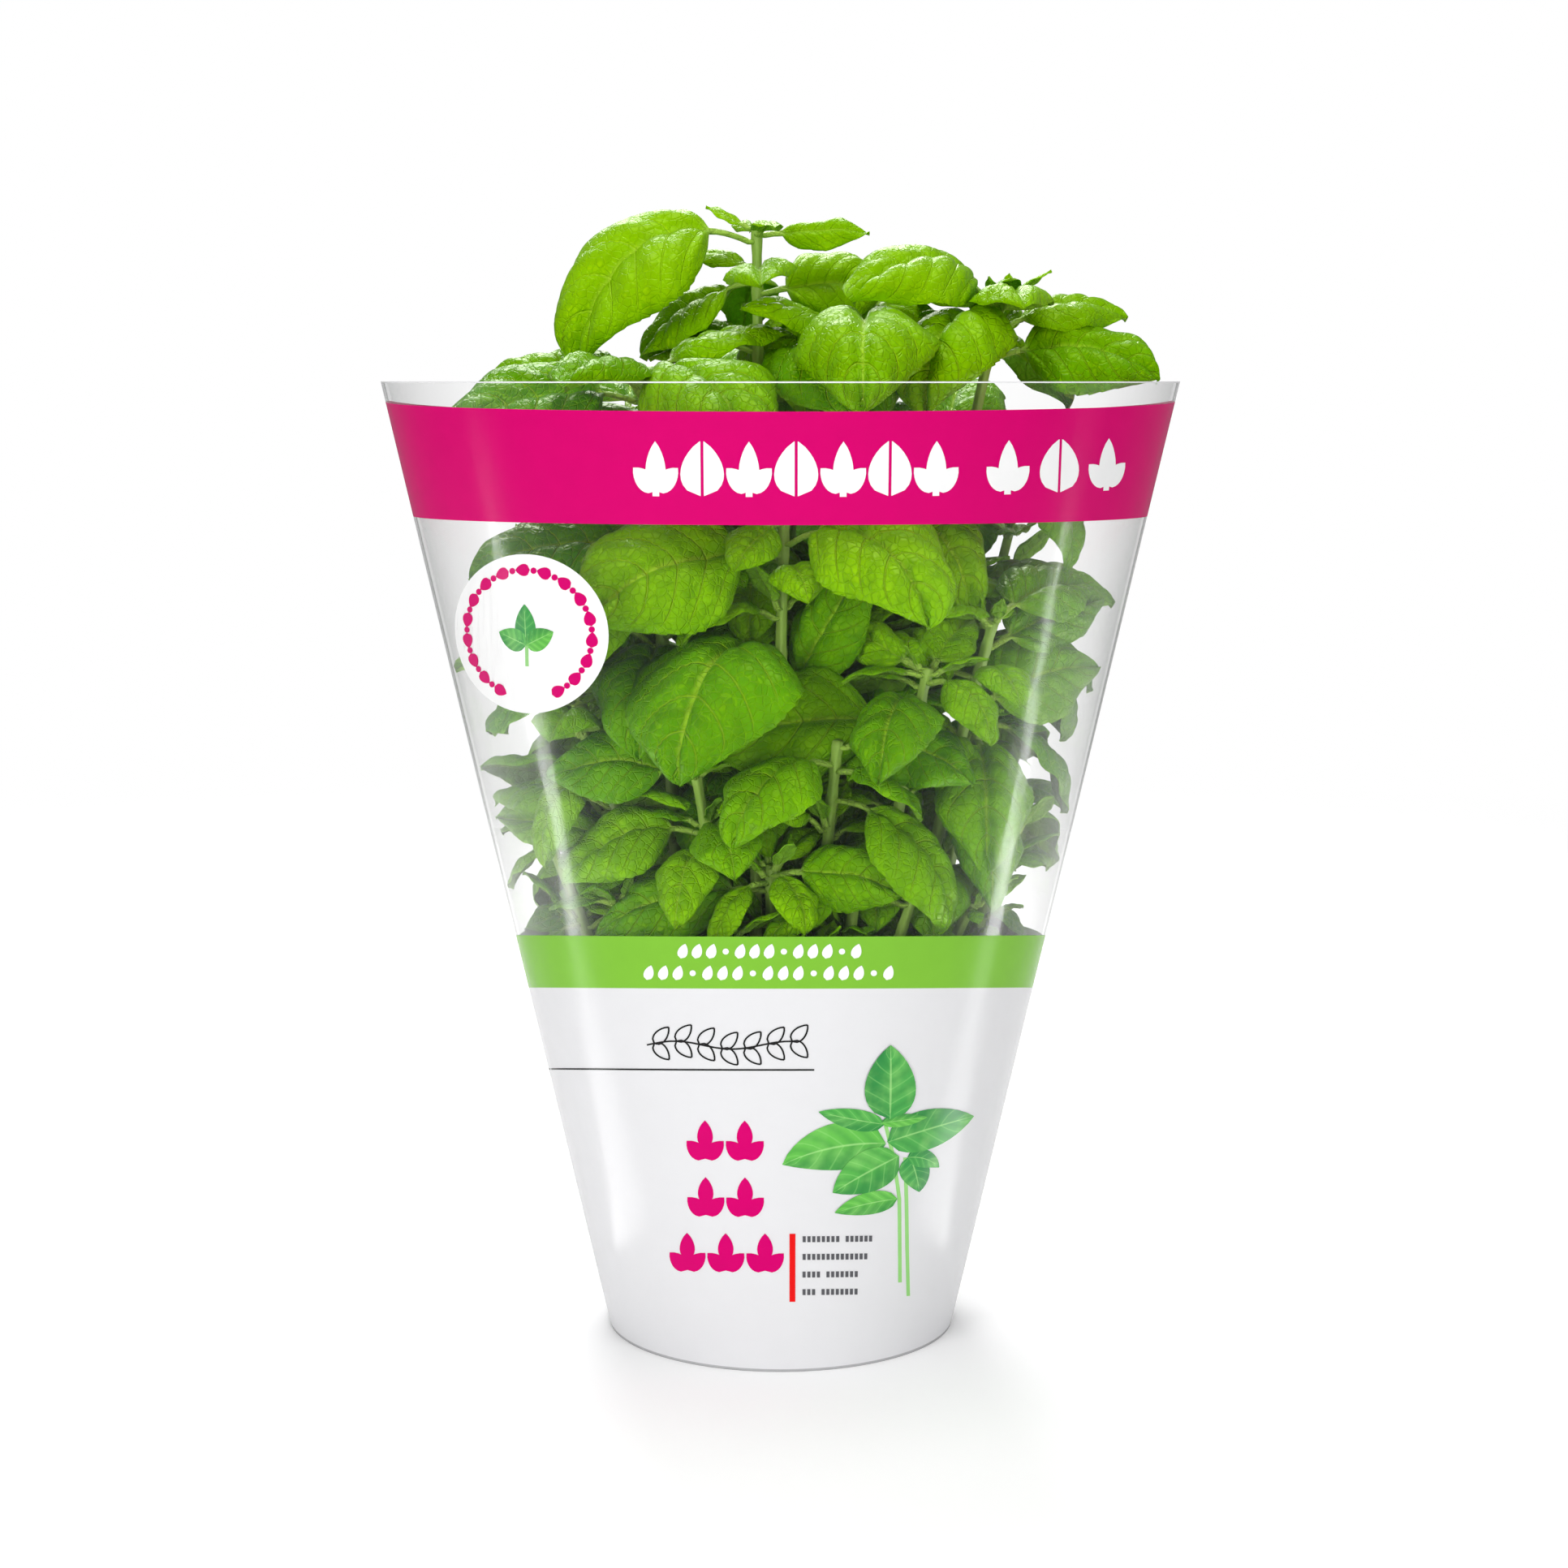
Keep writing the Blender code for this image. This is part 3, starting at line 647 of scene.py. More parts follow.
class Sheaf:
    """Corners and faces gathered for one piece, with the leaf map, tone and underside of each corner."""

    def __init__(self):
        self.points = []
        self.faces = []
        self.finishes = []
        self.maps = []
        self.tones = []
        self.unders = []

    def add(self, points, faces, maps=None, tone=0.5, unders=None, finishes=None):
        self.faces += numbered_from(len(self.points), faces)
        self.points += points
        self.finishes += finishes or [0] * len(faces)
        self.maps += maps or [(0.5, 0.5)] * len(points)
        self.tones += [tone] * len(points)
        self.unders += unders or [0.0] * len(points)

    def piece(self, name, materials, slot, replaced=(), sharp=180):
        """The piece, shaded smooth up to a sharp angle, riding on the plant's one body."""
        mesh = bpy.data.meshes.new(name)
        mesh.from_pydata([tuple(p) for p in self.points], [], self.faces)
        for material in materials:
            mesh.materials.append(material)
        mesh.polygons.foreach_set("material_index", self.finishes)
        index = np.empty(len(mesh.loops), np.int32)
        mesh.loops.foreach_get("vertex_index", index)
        layer = mesh.uv_layers.new(name=LEAF_MAP)
        layer.data.foreach_set("uv", np.array(self.maps, np.float32)[index].ravel())
        for label, values in (("tone", self.tones), ("under", self.unders)):
            mesh.attributes.new(label, "FLOAT", "POINT").data.foreach_set("value", values)
        mesh.shade_smooth()
        if sharp < 180:
            mesh.set_sharp_from_angle(angle=math.radians(sharp))
        made = in_scene(name, mesh)
        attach(made, "root")
        if replaced:
            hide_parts(*replaced)
        return made


def film_radius(height):
    """The film's outer radius."""
    return SLEEVE_FOOT + (SLEEVE_TOP - SLEEVE_FOOT) * height / SLEEVE_HEIGHT


def stem_point(stem, height):
    """A point of the stem's centre line, which rises out of the soil and leans to its tip."""
    tip_height = stem.tip_height * MM
    widest = film_radius(min(SOIL_LEVEL + tip_height, SLEEVE_HEIGHT)) - FILM_INSIDE
    foot = Vector((stem.foot_x, stem.foot_y, 0)) * SOIL_RADIUS / 100
    tip = Vector((stem.tip_x, stem.tip_y, 0)) * widest / 100
    lean = max(0.0, height / tip_height) ** LEAN_POWER
    return foot.lerp(tip, lean) + Vector((0, 0, SOIL_LEVEL + height))


def stem_radius(stem, height):
    return STEM_RADIUS * (1 - (1 - STEM_TAPER) * max(0.0, height / (stem.tip_height * MM)))


def blade_shape(share):
    """Half width of a blade along its length: 0 at the base, 1 at its widest and 0 at the tip."""
    return (share ** BASE_ROUNDING) * ((1 - share) ** TIP_ROUNDING) / WIDEST


Rib = namedtuple("Rib", "point ahead across normal share half")


def ribs_of(leaf, growth, petiole_rows, blade_rows):
    """The leaf's cross ribs from its petiole to its tip. Shares below 0 are on the petiole."""
    azimuth = math.radians(leaf.azimuth + growth.turn)
    pitch = math.radians(leaf.pitch + growth.lift)
    droop = math.radians(leaf.droop)
    twist = math.radians(leaf.twist)
    length = leaf.length * MM * growth.size
    petiole = length * PETIOLE_SHARE
    side = Vector((-math.sin(azimuth), math.cos(azimuth), 0))
    outward = Vector((math.cos(azimuth), math.sin(azimuth), 0))
    point = stem_point(ALL_STEMS[leaf.stem], leaf.height * MM) + outward * (STEM_RADIUS + SOCKET_GAP)
    steps = [petiole / petiole_rows] * petiole_rows + [length / blade_rows] * blade_rows
    ribs, done = [], 0.0
    for index in range(len(steps) + 1):
        angle = pitch - droop * done / (petiole + length)
        ahead = outward * math.cos(angle) + Vector((0, 0, math.sin(angle)))
        roll = Matrix.Rotation(twist * min(1.0, done / petiole), 3, ahead)
        share = (done - petiole) / length
        half = PETIOLE_WIDTH / 2
        if share > 0:
            blade = leaf.width * MM * growth.size / 2 * blade_shape(min(share, 1))
            half = max(LEAST_HALF, half * (1 - share), blade)
        ribs.append(Rib(point.copy(), ahead, roll @ side, roll @ ahead.cross(side), share, half))
        if index < len(steps):
            middle = angle - droop * steps[index] / (petiole + length) / 2
            point += (outward * math.cos(middle) + Vector((0, 0, math.sin(middle)))) * steps[index]
            done += steps[index]
    return ribs


def across_rib(rib, curl, t):
    """A point of the leaf's middle surface at t, from -1 to 1 across a rib, and the normal there."""
    bend = curl * t
    arc = rib.across * math.sin(bend) + rib.normal * (math.cos(bend) - 1)
    return rib.point + arc * (rib.half / curl), rib.normal * math.cos(bend) + rib.across * math.sin(bend)


def plain_shell(leaf, growth, half):
    """The leaf as the frame holds it, half as thick on each side: corners and faces."""
    curl = math.radians(leaf.curl)
    above, below = [], []
    ribs = ribs_of(leaf, growth, PETIOLE_ROWS, BLADE_ROWS)
    for rib in ribs:
        for column in range(BLADE_COLUMNS + 1):
            place, normal = across_rib(rib, curl, 2 * column / BLADE_COLUMNS - 1)
            above.append(place + normal * half)
            below.append(place - normal * half)
    faces = shell_faces(len(ribs), BLADE_COLUMNS + 1)
    return above + below, faces


def shell_faces(rows, columns):
    """Faces of a closed shell of two grids, the upper one first."""
    count = rows * columns
    faces = []
    for i in range(rows - 1):
        for j in range(columns - 1):
            a = i * columns + j
            faces.append((a, a + columns, a + columns + 1, a + 1))
            faces.append((count + a, count + a + 1, count + a + columns + 1, count + a + columns))
        a, b = i * columns, i * columns + columns - 1
        faces.append((a, count + a, count + a + columns, a + columns))
        faces.append((b, b + columns, count + b + columns, count + b))
    last = (rows - 1) * columns
    for j in range(columns - 1):
        faces.append((j, j + 1, count + j + 1, count + j))
        a = last + j
        faces.append((a, count + a, count + a + 1, a + 1))
    return faces


def smooth(low, high, value):
    share = min(1.0, max(0.0, (value - low) / (high - low)))
    return share * share * (3 - 2 * share)


def inside_film(point):
    """The point, drawn in where it would pass through the film or stand outside the sleeve's mouth."""
    most = film_radius(min(point.z, SLEEVE_HEIGHT)) - FILM_INSIDE - FILM_CLEARANCE
    reach = math.hypot(point.x, point.y)
    if reach <= most:
        return point
    return Vector((point.x * most / reach, point.y * most / reach, point.z))


class Blade:
    """What is a leaf's own: its tone, and how it puffs, quilts, ripples, buckles and is toothed."""

    def __init__(self, name, leaf, growth, plant):
        chance = random.Random(name)
        older = (leaf.length * growth.size - 40) / 120
        self.tone = min(1.0, max(0.0, chance.gauss(0.55, 0.28) + older))
        self.ripple_phase = [chance.uniform(0, math.tau) for _ in range(2)]
        self.seed = Vector([chance.uniform(0, 50) for _ in range(3)])
        size = leaf.length * MM * growth.size
        grown = min(1.0, size / FULL_SIZE)
        self.quilting = plant.quilting * grown
        self.puff = plant.puff * grown
        self.ripple = plant.ripple * grown
        self.teeth = max(6, round(size / TOOTH_SPACING))
        self.toothed = min(1.0, size / TOOTHED_SIZE)

    def edge(self, rib, reach, blade):
        """The rib's half width at its teeth, as a share of the smooth one."""
        tooth = (rib.share * self.teeth) % 1.0
        return 1 + blade * reach ** 6 * (0.02 - 0.04 * tooth) * self.toothed

    def rise(self, rib, t, blade):
        """How far the blade stands off its smooth surface at t across a rib."""
        reach = abs(t)
        phase = (rib.share - reach * VEIN_SLANT - reach * reach * VEIN_CURVE) * LEAF_VEINS
        pillow = abs(math.sin(math.pi * phase)) ** 0.6 - 0.45
        soft = smooth(0, 0.15, reach) * (1 - reach ** 5)
        rise = self.quilting * pillow * soft * blade * min(1.0, rib.half / 0.008)
        rise += self.puff * math.sin(math.pi * reach ** 0.8) * blade * min(1.0, rib.half / 0.012)
        rise -= self.quilting * 0.9 * math.exp(-((t * rib.half / FURROW_WIDTH) ** 2)) * blade
        wave = math.sin(math.tau * 2.3 * rib.share + self.ripple_phase[t > 0])
        rise += self.ripple * reach ** 2.5 * wave * blade * smooth(0.0, 0.3, rib.share)
        lump = noise.noise(self.seed + Vector((rib.share * 2.6, t * 1.3, 0)))
        return rise + 1.6 * self.quilting * lump * blade


def halves(rib, t, blade):
    """How thick a leaf is above and below its middle: a thin blade on its midrib, a round petiole."""
    thick = BLADE_HALF * (1 - 0.5 * abs(t) ** 4)
    round_half = PETIOLE_HALF * math.sqrt(max(0.0, 1 - t * t)) + 0.00002
    midrib = MIDRIB_DEPTH * (1 - 0.7 * max(0.0, rib.share))
    midrib *= math.exp(-((t * rib.half / MIDRIB_WIDTH) ** 2))
    upper = thick * blade + round_half * (1 - blade)
    return upper, (thick + midrib) * blade + round_half * (1 - blade)


def rib_in_stem(root):
    """A rib like the petiole's first, but inside the stem, so that the petiole grows out of it."""
    into_stem = root.across.cross(Vector((0, 0, 1))).normalized() * -(STEM_RADIUS * 0.7 + SOCKET_GAP)
    if into_stem.dot(root.ahead) > 0:
        into_stem = -into_stem
    return root._replace(point=root.point + into_stem)


def add_leaf(sheaf, name, leaf, growth, plant, rows, columns, petiole_rows=5):
    """A leaf with its quilted blade, toothed and rippled edge, sunken midrib and round petiole."""
    own = Blade(name, leaf, growth, plant)
    curl = math.radians(leaf.curl)
    ribs = ribs_of(leaf, growth, petiole_rows, rows)
    ribs.insert(0, rib_in_stem(ribs[0]))
    above, below, maps = [], [], []
    for rib in ribs:
        blade = smooth(-0.06, 0.1, rib.share)
        for column in range(columns + 1):
            t = 2 * column / columns - 1
            toothed = rib._replace(half=rib.half * own.edge(rib, abs(t), blade))
            place, normal = across_rib(toothed, curl, t)
            upper, lower = halves(rib, t, blade)
            middle = place + normal * own.rise(rib, t, blade)
            above.append(inside_film(middle + normal * upper))
            below.append(inside_film(middle - normal * lower))
            maps.append((rib.share, (t + 1) / 2))
    faces = shell_faces(len(ribs), columns + 1)
    sheaf.add(above + below, faces, maps + maps, own.tone, [0.0] * len(above) + [1.0] * len(below))


def framed_growth(name, leaf):
    """How the frame's leaf grew: the growth whose plain shell fills the node's own box."""
    low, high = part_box(name)
    best, best_gap = None, math.inf
    for growth in GROWTHS:
        points = plain_shell(leaf, growth, LEAF_THICKNESS / 2)[0]
        gap = 0.0
        for axis in range(3):
            values = [p[axis] for p in points]
            gap += abs(min(values) - low[axis]) + abs(max(values) - high[axis])
        if gap < best_gap:
            best, best_gap = growth, gap
        if best_gap < 0.0002:
            break
    if best_gap > 0.003:
        raise RuntimeError(f"no growth of {name} matches its node: {best_gap:.4f} m apart")
    return best


class Thicket:
    """What an added leaf may not touch: the frame's solids, the shoots and the leaves added so far."""

    def __init__(self):
        points, faces = [], []
        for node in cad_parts:
            faces += numbered_from(len(points), node_faces(node))
            points += corners(node)
        for stem in SHOOTS.values():
            faces += numbered_from(len(points), tube_faces(8, 12))
            points += tube_points(stem, 8, 12)
        self.trees = [BVHTree.FromPolygons(points, faces)]
        self.recent = ([], [])
        self.shown = ([], [])
        for name in LEAVES:
            self.show(corners(f"leaf_{name}"), node_faces(f"leaf_{name}"))
        self.shown_tree = None

    def show(self, points, faces):
        """Notes a leaf that is to stay in view from the front."""
        self.shown[1].extend(numbered_from(len(self.shown[0]), faces))
        self.shown[0].extend(points)

    def hides(self, points):
        """True if a leaf with these corners would stand before a shown leaf, as the front shows them."""
        if self.shown_tree is None:
            self.shown_tree = BVHTree.FromPolygons(*self.shown)
        upper = points[:len(points) // 2]
        struck = [self.shown_tree.ray_cast(p, (p - FRONT_VIEW).normalized())[0] for p in upper]
        return len(upper) - struck.count(None) > MOST_HIDDEN * len(upper)

    def settle(self, leaf, shy=False):
        """The first growth of the leaf that touches nothing, or None. The leaf then joins the thicket.

        A shy leaf also keeps from standing before a shown one.
        """
        for growth in GROWTHS:
            points, faces = plain_shell(leaf, growth, LEAF_THICKNESS / 2 + LEAF_GAP)
            if max(math.hypot(p.x, p.y) for p in points) > SLEEVE_TOP:
                continue
            shell = BVHTree.FromPolygons(points, faces)
            if any(tree.overlap(shell) for tree in self.trees) or (shy and self.hides(points)):
                continue
            self.join(points, faces)
            if not shy:
                self.show(points, faces)
            return growth
        return None

    def join(self, points, faces):
        """Adds a leaf's shell. The last few share a small tree, so that few trees are searched."""
        known_points, known_faces = self.recent
        if known_points:
            self.trees.pop()
        known_faces += numbered_from(len(known_points), faces)
        known_points += points
        self.trees.append(BVHTree.FromPolygons(known_points, known_faces))
        if len(known_faces) > TREE_FACES:
            self.recent = ([], [])


def tube_points(stem, around, rows):
    """Corners of a stem's plain tube, ring by ring from the soil to its tip."""
    points = []
    for i in range(rows + 1):
        height = stem.tip_height * MM * i / rows
        centre = stem_point(stem, height)
        for k in range(around):
            turn = math.tau * k / around
            spoke = Vector((math.cos(turn), math.sin(turn), 0))
            points.append(centre + spoke * stem_radius(stem, height))
    return points


def pairs_on(stem_name, spacing):
    """Leaf pairs up a stem, each turned a quarter from the last, smaller near the soil and the tip."""
    chance = random.Random("pairs " + stem_name)
    stem = ALL_STEMS[stem_name]
    height = 30.0 + chance.uniform(0, 8)
    turn = chance.uniform(0, 360)
    while height < stem.tip_height - 4:
        up = height / stem.tip_height
        length = 25 + 22 * math.sin(math.pi * min(1.0, up * 1.05) ** 0.8) + chance.uniform(-5, 7)
        for side in (0, 180):
            yield Leaf(
                stem_name,
                height + chance.uniform(-1.5, 1.5), (turn + side + chance.uniform(-14, 14)) % 360,
                chance.uniform(8, 40), chance.uniform(50, 120), chance.uniform(-25, 25),
                length, length * chance.uniform(0.62, 0.8), chance.uniform(28, 45))
            if chance.random() < 0.6:
                young = chance.uniform(12, 22)
                yield Leaf(
                    stem_name, height + 3, (turn + side + chance.uniform(20, 60)) % 360,
                    chance.uniform(35, 65), chance.uniform(20, 60), chance.uniform(-20, 20),
                    young, young * chance.uniform(0.5, 0.65), chance.uniform(20, 40))
        turn += 90
        height += spacing / MM * chance.uniform(0.85, 1.2)


def crown_of(stem_name):
    """The unopened leaves at a stem's tip: three pairs, each smaller and steeper than the last."""
    chance = random.Random("crown " + stem_name)
    stem = ALL_STEMS[stem_name]
    turn = chance.uniform(0, 180)
    for step, (length, pitch) in enumerate(((19, 34), (13, 52), (8, 70))):
        for side in (0, 180):
            yield Leaf(
                stem_name, stem.tip_height - 2 + step, turn + 90 * step + side + chance.uniform(-10, 10),
                pitch + chance.uniform(-6, 6), 46 - 12 * step, chance.uniform(-15, 15),
                length * chance.uniform(0.85, 1.15), length * 0.55, 35)


# ---------------------------------------------------------------- the film and its print


def film_bands():
    """The print's bands from the foot up."""
    top, rim = SLEEVE_HEIGHT, SLEEVE_HEIGHT - RIM_HEIGHT
    return [
        # The foot row is a grey band, partly the film's cut edge and partly painted shade.
        Band(0.0, 0.0, 0.0, EDGE, 1),
        Band(EDGE_HEIGHT, EDGE_HEIGHT, EDGE_HEIGHT, PANEL, 10),
        Band(0.1211, 0.1045, 0.0990, GREEN, 4),
        Band(0.1366, 0.1210, 0.1155, CLEAR, 28),
        Band(0.2523, 0.2501, 0.2500, PINK, 8),
        Band(0.2822, 0.2843, 0.2790, CLEAR, 2),
        # The rim row is a painted highlight: a pale band where the film's cut edge catches the light.
        Band(rim, rim, rim, RIM, 1),
        Band(top, top, top, CLEAR, 0),
    ]


def edge_height(band, turn):
    """Height of a band's lower edge at a turn from the front: an arc on each side of the welds."""
    ahead = math.cos(turn)
    middle = band.front if ahead > 0 else band.back
    return band.side + (middle - band.side) * abs(ahead)


def film_skin(turn, height):
    """Outer radius of the film with its slack between the pot's rim and the mouth, and its side welds."""
    free = smooth(POT_HEIGHT, POT_HEIGHT + SLACK_STARTS, height)
    slack = noise.noise(Vector((2.2 * math.sin(turn), 2.2 * math.cos(turn), height * 5)))
    weld = abs(abs(turn) - math.pi / 2) < WELD_HALF
    return film_radius(height) + SLACK * slack * free + WELD_THICKNESS * weld


def film_place(turn, height, lift=0.0):
    radius = film_skin(turn, height) + lift
    return Vector((radius * math.sin(turn), -radius * math.cos(turn), height))


def film_turns():
    """Turns of the film's columns: even, and closer at the side welds."""
    turns = [math.radians(-180 + 2.5 * k) for k in range(144)]
    for weld in (-90, 90):
        turns += [math.radians(weld + step) for step in (-1.0, -0.75, -0.4, 0.4, 0.75, 1.0)]
    return sorted(turns)


# The print is laid out as the front shows it: x to the right of the middle, and the height there. An art
# says how far its level lines sink towards the sides, and how far its ink lies off the film.
Art = namedtuple("Art", "drop lift")
BAND_ART = Art(0.0, 0.00012)
GREEN_ART = Art(0.0162, 0.00012)
PANEL_ART = Art(0.0177, 0.00012)
ROUNDEL_ART = Art(0.0090, 0.00010)
ROUNDEL_INK = Art(0.0090, 0.00018)
PICTURE_INK = 0.00004
STRIP_WIDTH = 0.0025
PRINT_EDGE = 40
BORDER_HEIGHT = 0.2672
ROUNDEL_X = -0.0710
ROUNDEL_HEIGHT = 0.2227


def printed(x, height, art):
    """A point of the print on the film."""
    turn = math.asin(max(-0.98, min(0.98, x / film_radius(height))))
    return film_place(turn, height - art.drop * (1 - math.cos(turn)), art.lift)


def add_art(sheaf, outline, art, tone=0.5):
    """A flat outline in print, cut into upright strips so that it follows the film."""
    shape = bmesh.new()
    shape.faces.new([shape.verts.new((x, height, 0)) for x, height in outline])
    bmesh.ops.triangulate(shape, faces=shape.faces[:])
    low, high = min(x for x, _ in outline), max(x for x, _ in outline)
    strips = int((high - low) / STRIP_WIDTH)
    for k in range(1, strips + 1):
        everything = shape.verts[:] + shape.edges[:] + shape.faces[:]
        cut = low + (high - low) * k / (strips + 1)
        bmesh.ops.bisect_plane(shape, geom=everything, plane_co=(cut, 0, 0), plane_no=(1, 0, 0))
    shape.verts.index_update()
    bmesh.ops.recalc_face_normals(shape, faces=shape.faces[:])
    flip = shape.faces[:] and shape.faces[:][0].normal.z < 0
    flat = [(v.co.x, v.co.y) for v in shape.verts]
    count = len(flat)
    tops = [tuple(v.index for v in f.verts) for f in shape.faces]
    if flip:
        tops = [face[::-1] for face in tops]
    rim = [e for e in shape.edges if len(e.link_faces) == 1]
    walls = []
    for edge in rim:
        loop = edge.link_loops[0]
        a, b = loop.vert.index, loop.link_loop_next.vert.index
        if flip:
            a, b = b, a
        walls.append((b, a, count + a, count + b))
    shape.free()
    points = [printed(x, h, layer) for layer in (art, art._replace(lift=art.lift / 3)) for x, h in flat]
    faces = tops + numbered_from(count, [face[::-1] for face in tops]) + walls
    sheaf.add(points, faces, None, tone)


def print_piece(name, ink, outlines, art):
    """A piece of flat outlines in one ink."""
    sheaf = Sheaf()
    for outline in outlines:
        add_art(sheaf, outline, art)
    sheaf.piece(name, [ink], "film", sharp=PRINT_EDGE)


def oval(x, height, half_x, half_z=None, points=28):
    half_z = half_z or half_x
    turns = [math.tau * k / points for k in range(points)]
    return [(x + half_x * math.cos(a), height + half_z * math.sin(a)) for a in turns]


def bar(x, height, width, tall):
    return [(x, height), (x + width, height), (x + width, height + tall), (x, height + tall)]


def leaf_outline(x, height, angle, length, width, points=9):
    """A leaf with its base at x, height, pointing along angle."""
    ahead = (math.cos(angle), math.sin(angle))
    shares = [k / points for k in range(points + 1)]
    right = [(s, -width / 2 * blade_shape(s)) for s in shares]
    left = [(s, width / 2 * blade_shape(s)) for s in reversed(shares[1:-1])]
    return [
        (x + ahead[0] * s * length - ahead[1] * w, height + ahead[1] * s * length + ahead[0] * w)
        for s, w in right + left
    ]


def stroke(points, width):
    """The outline of a line of even width through the points."""
    left, right = [], []
    for k, (x, h) in enumerate(points):
        before, after = points[max(0, k - 1)], points[min(len(points) - 1, k + 1)]
        dx, dh = after[0] - before[0], after[1] - before[1]
        size = math.hypot(dx, dh)
        left.append((x - dh / size * width / 2, h + dx / size * width / 2))
        right.append((x + dh / size * width / 2, h - dx / size * width / 2))
    return left + right[::-1]


# A leaf in the print's pictures: where its base is, where it points in radians, its length and width, how
# far it bends sideways in radians, and its tone.
Drawn = namedtuple("Drawn", "x height angle length width bend tone")


def add_picture_leaf(sheaf, drawn, art, rows=12, columns=6):
    """A drawn leaf in print, with its map for the veins."""
    points, maps = [], []
    place, turn = Vector((drawn.x, drawn.height)), drawn.angle
    for i in range(rows + 1):
        s = i / rows
        across = Vector((-math.sin(turn), math.cos(turn)))
        for j in range(columns + 1):
            t = 2 * j / columns - 1
            spot = place + across * (t * max(0.0001, drawn.width / 2 * blade_shape(s)))
            points.append(printed(spot.x, spot.y, art))
            maps.append((s, (t + 1) / 2))
        place = place + Vector((math.cos(turn), math.sin(turn))) * (drawn.length / rows)
        turn += drawn.bend / rows
    under = [p - Vector((p.x, p.y, 0)).normalized() * PICTURE_INK for p in points]
    faces = [face[::-1] for face in shell_faces(rows + 1, columns + 1)]
    sheaf.add(points + under, faces, maps + maps, drawn.tone)


# ---------------------------------------------------------------- operators


class BASIL_OT_pot(bpy.types.Operator):
    """Gives the pot its moulded plastic"""

    bl_idname = "basil.pot"
    bl_label = "Pot"

    def execute(self, context):
        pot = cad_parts["pot"]
        pot.data.materials.clear()
        pot.data.materials.append(pot_finish(context.scene.basil_pot))
        pot.data.shade_smooth()
        pot.data.set_sharp_from_angle(angle=math.radians(35))
        return {"FINISHED"}


class BASIL_OT_soil(bpy.types.Operator):
    """Heaps the potting soil with its crumbs"""

    bl_idname = "basil.soil"
    bl_label = "Soil"

    def execute(self, context):
        finish = soil_finish(context.scene.basil_pot)
        self.heap().piece("soil_heap", [finish], "soil", ["soil"])
        self.crumbs().piece("soil_crumbs", [finish], "soil")
        return {"FINISHED"}

    def level(self, share):
        """Height of the heap's smooth surface at a share of its radius."""
        return SOIL_LEVEL + SOIL_CROWN * (1 - share ** 2)

    def heap(self, rings=44, spokes=120):
        """The heap: rings of clods from its crown out to the pot, and a flat underside."""
        points = [Vector((0, 0, self.level(0)))]
        for ring in range(1, rings + 1):
            for spoke in range(spokes):
                turn = math.tau * (spoke + 0.5 * (ring % 2)) / spokes
                radius = SOIL_RADIUS * ring / rings
                spot = Vector((radius * math.cos(turn), radius * math.sin(turn), 0))
                clods = 0.0022 * noise.noise(spot * 90) + 0.0014 * noise.noise(spot * 300)
                points.append(spot + Vector((0, 0, self.level(ring / rings) + clods * (ring < rings))))
        last = 1 + (rings - 1) * spokes
        points += [Vector((p.x * 0.93, p.y * 0.93, SOIL_LEVEL - SOIL_SHOWN)) for p in points[last:]]
        faces = [(0, 1 + k, 1 + (k + 1) % spokes) for k in range(spokes)]
        faces += numbered_from(1, [(a, d, c, b) for a, b, c, d in tube_faces(spokes, rings)])
        faces.append(tuple(range(last + spokes + spokes - 1, last + spokes - 1, -1)))
        heap = Sheaf()
        heap.add(points, faces)
        return heap

    def crumbs(self, count=260):
        """Loose crumbs on the heap."""
        crumbs = Sheaf()
        chance = random.Random("crumbs")
        for _ in range(count):
            radius = SOIL_RADIUS * 0.94 * math.sqrt(chance.random())
            turn = chance.uniform(0, math.tau)
            size = chance.uniform(0.0008, 0.0026)
            height = self.level(radius / SOIL_RADIUS) + size * 0.3
            centre = Vector((radius * math.cos(turn), radius * math.sin(turn), height))
            self.add_crumb(crumbs, centre, size, chance)
        return crumbs

    def add_crumb(self, crumbs, centre, size, chance):
        """One rough crumb of soil."""
        shape = bmesh.new()
        bmesh.ops.create_icosphere(shape, subdivisions=2, radius=size)
        shift = Vector([chance.uniform(0, 90) for _ in range(3)])
        points = []
        for vertex in shape.verts:
            rough = 1 + 0.7 * noise.noise(vertex.co * 700 + shift)
            points.append(centre + vertex.co * rough)
        faces = [tuple(v.index for v in face.verts) for face in shape.faces]
        shape.free()
        crumbs.add(points, faces)


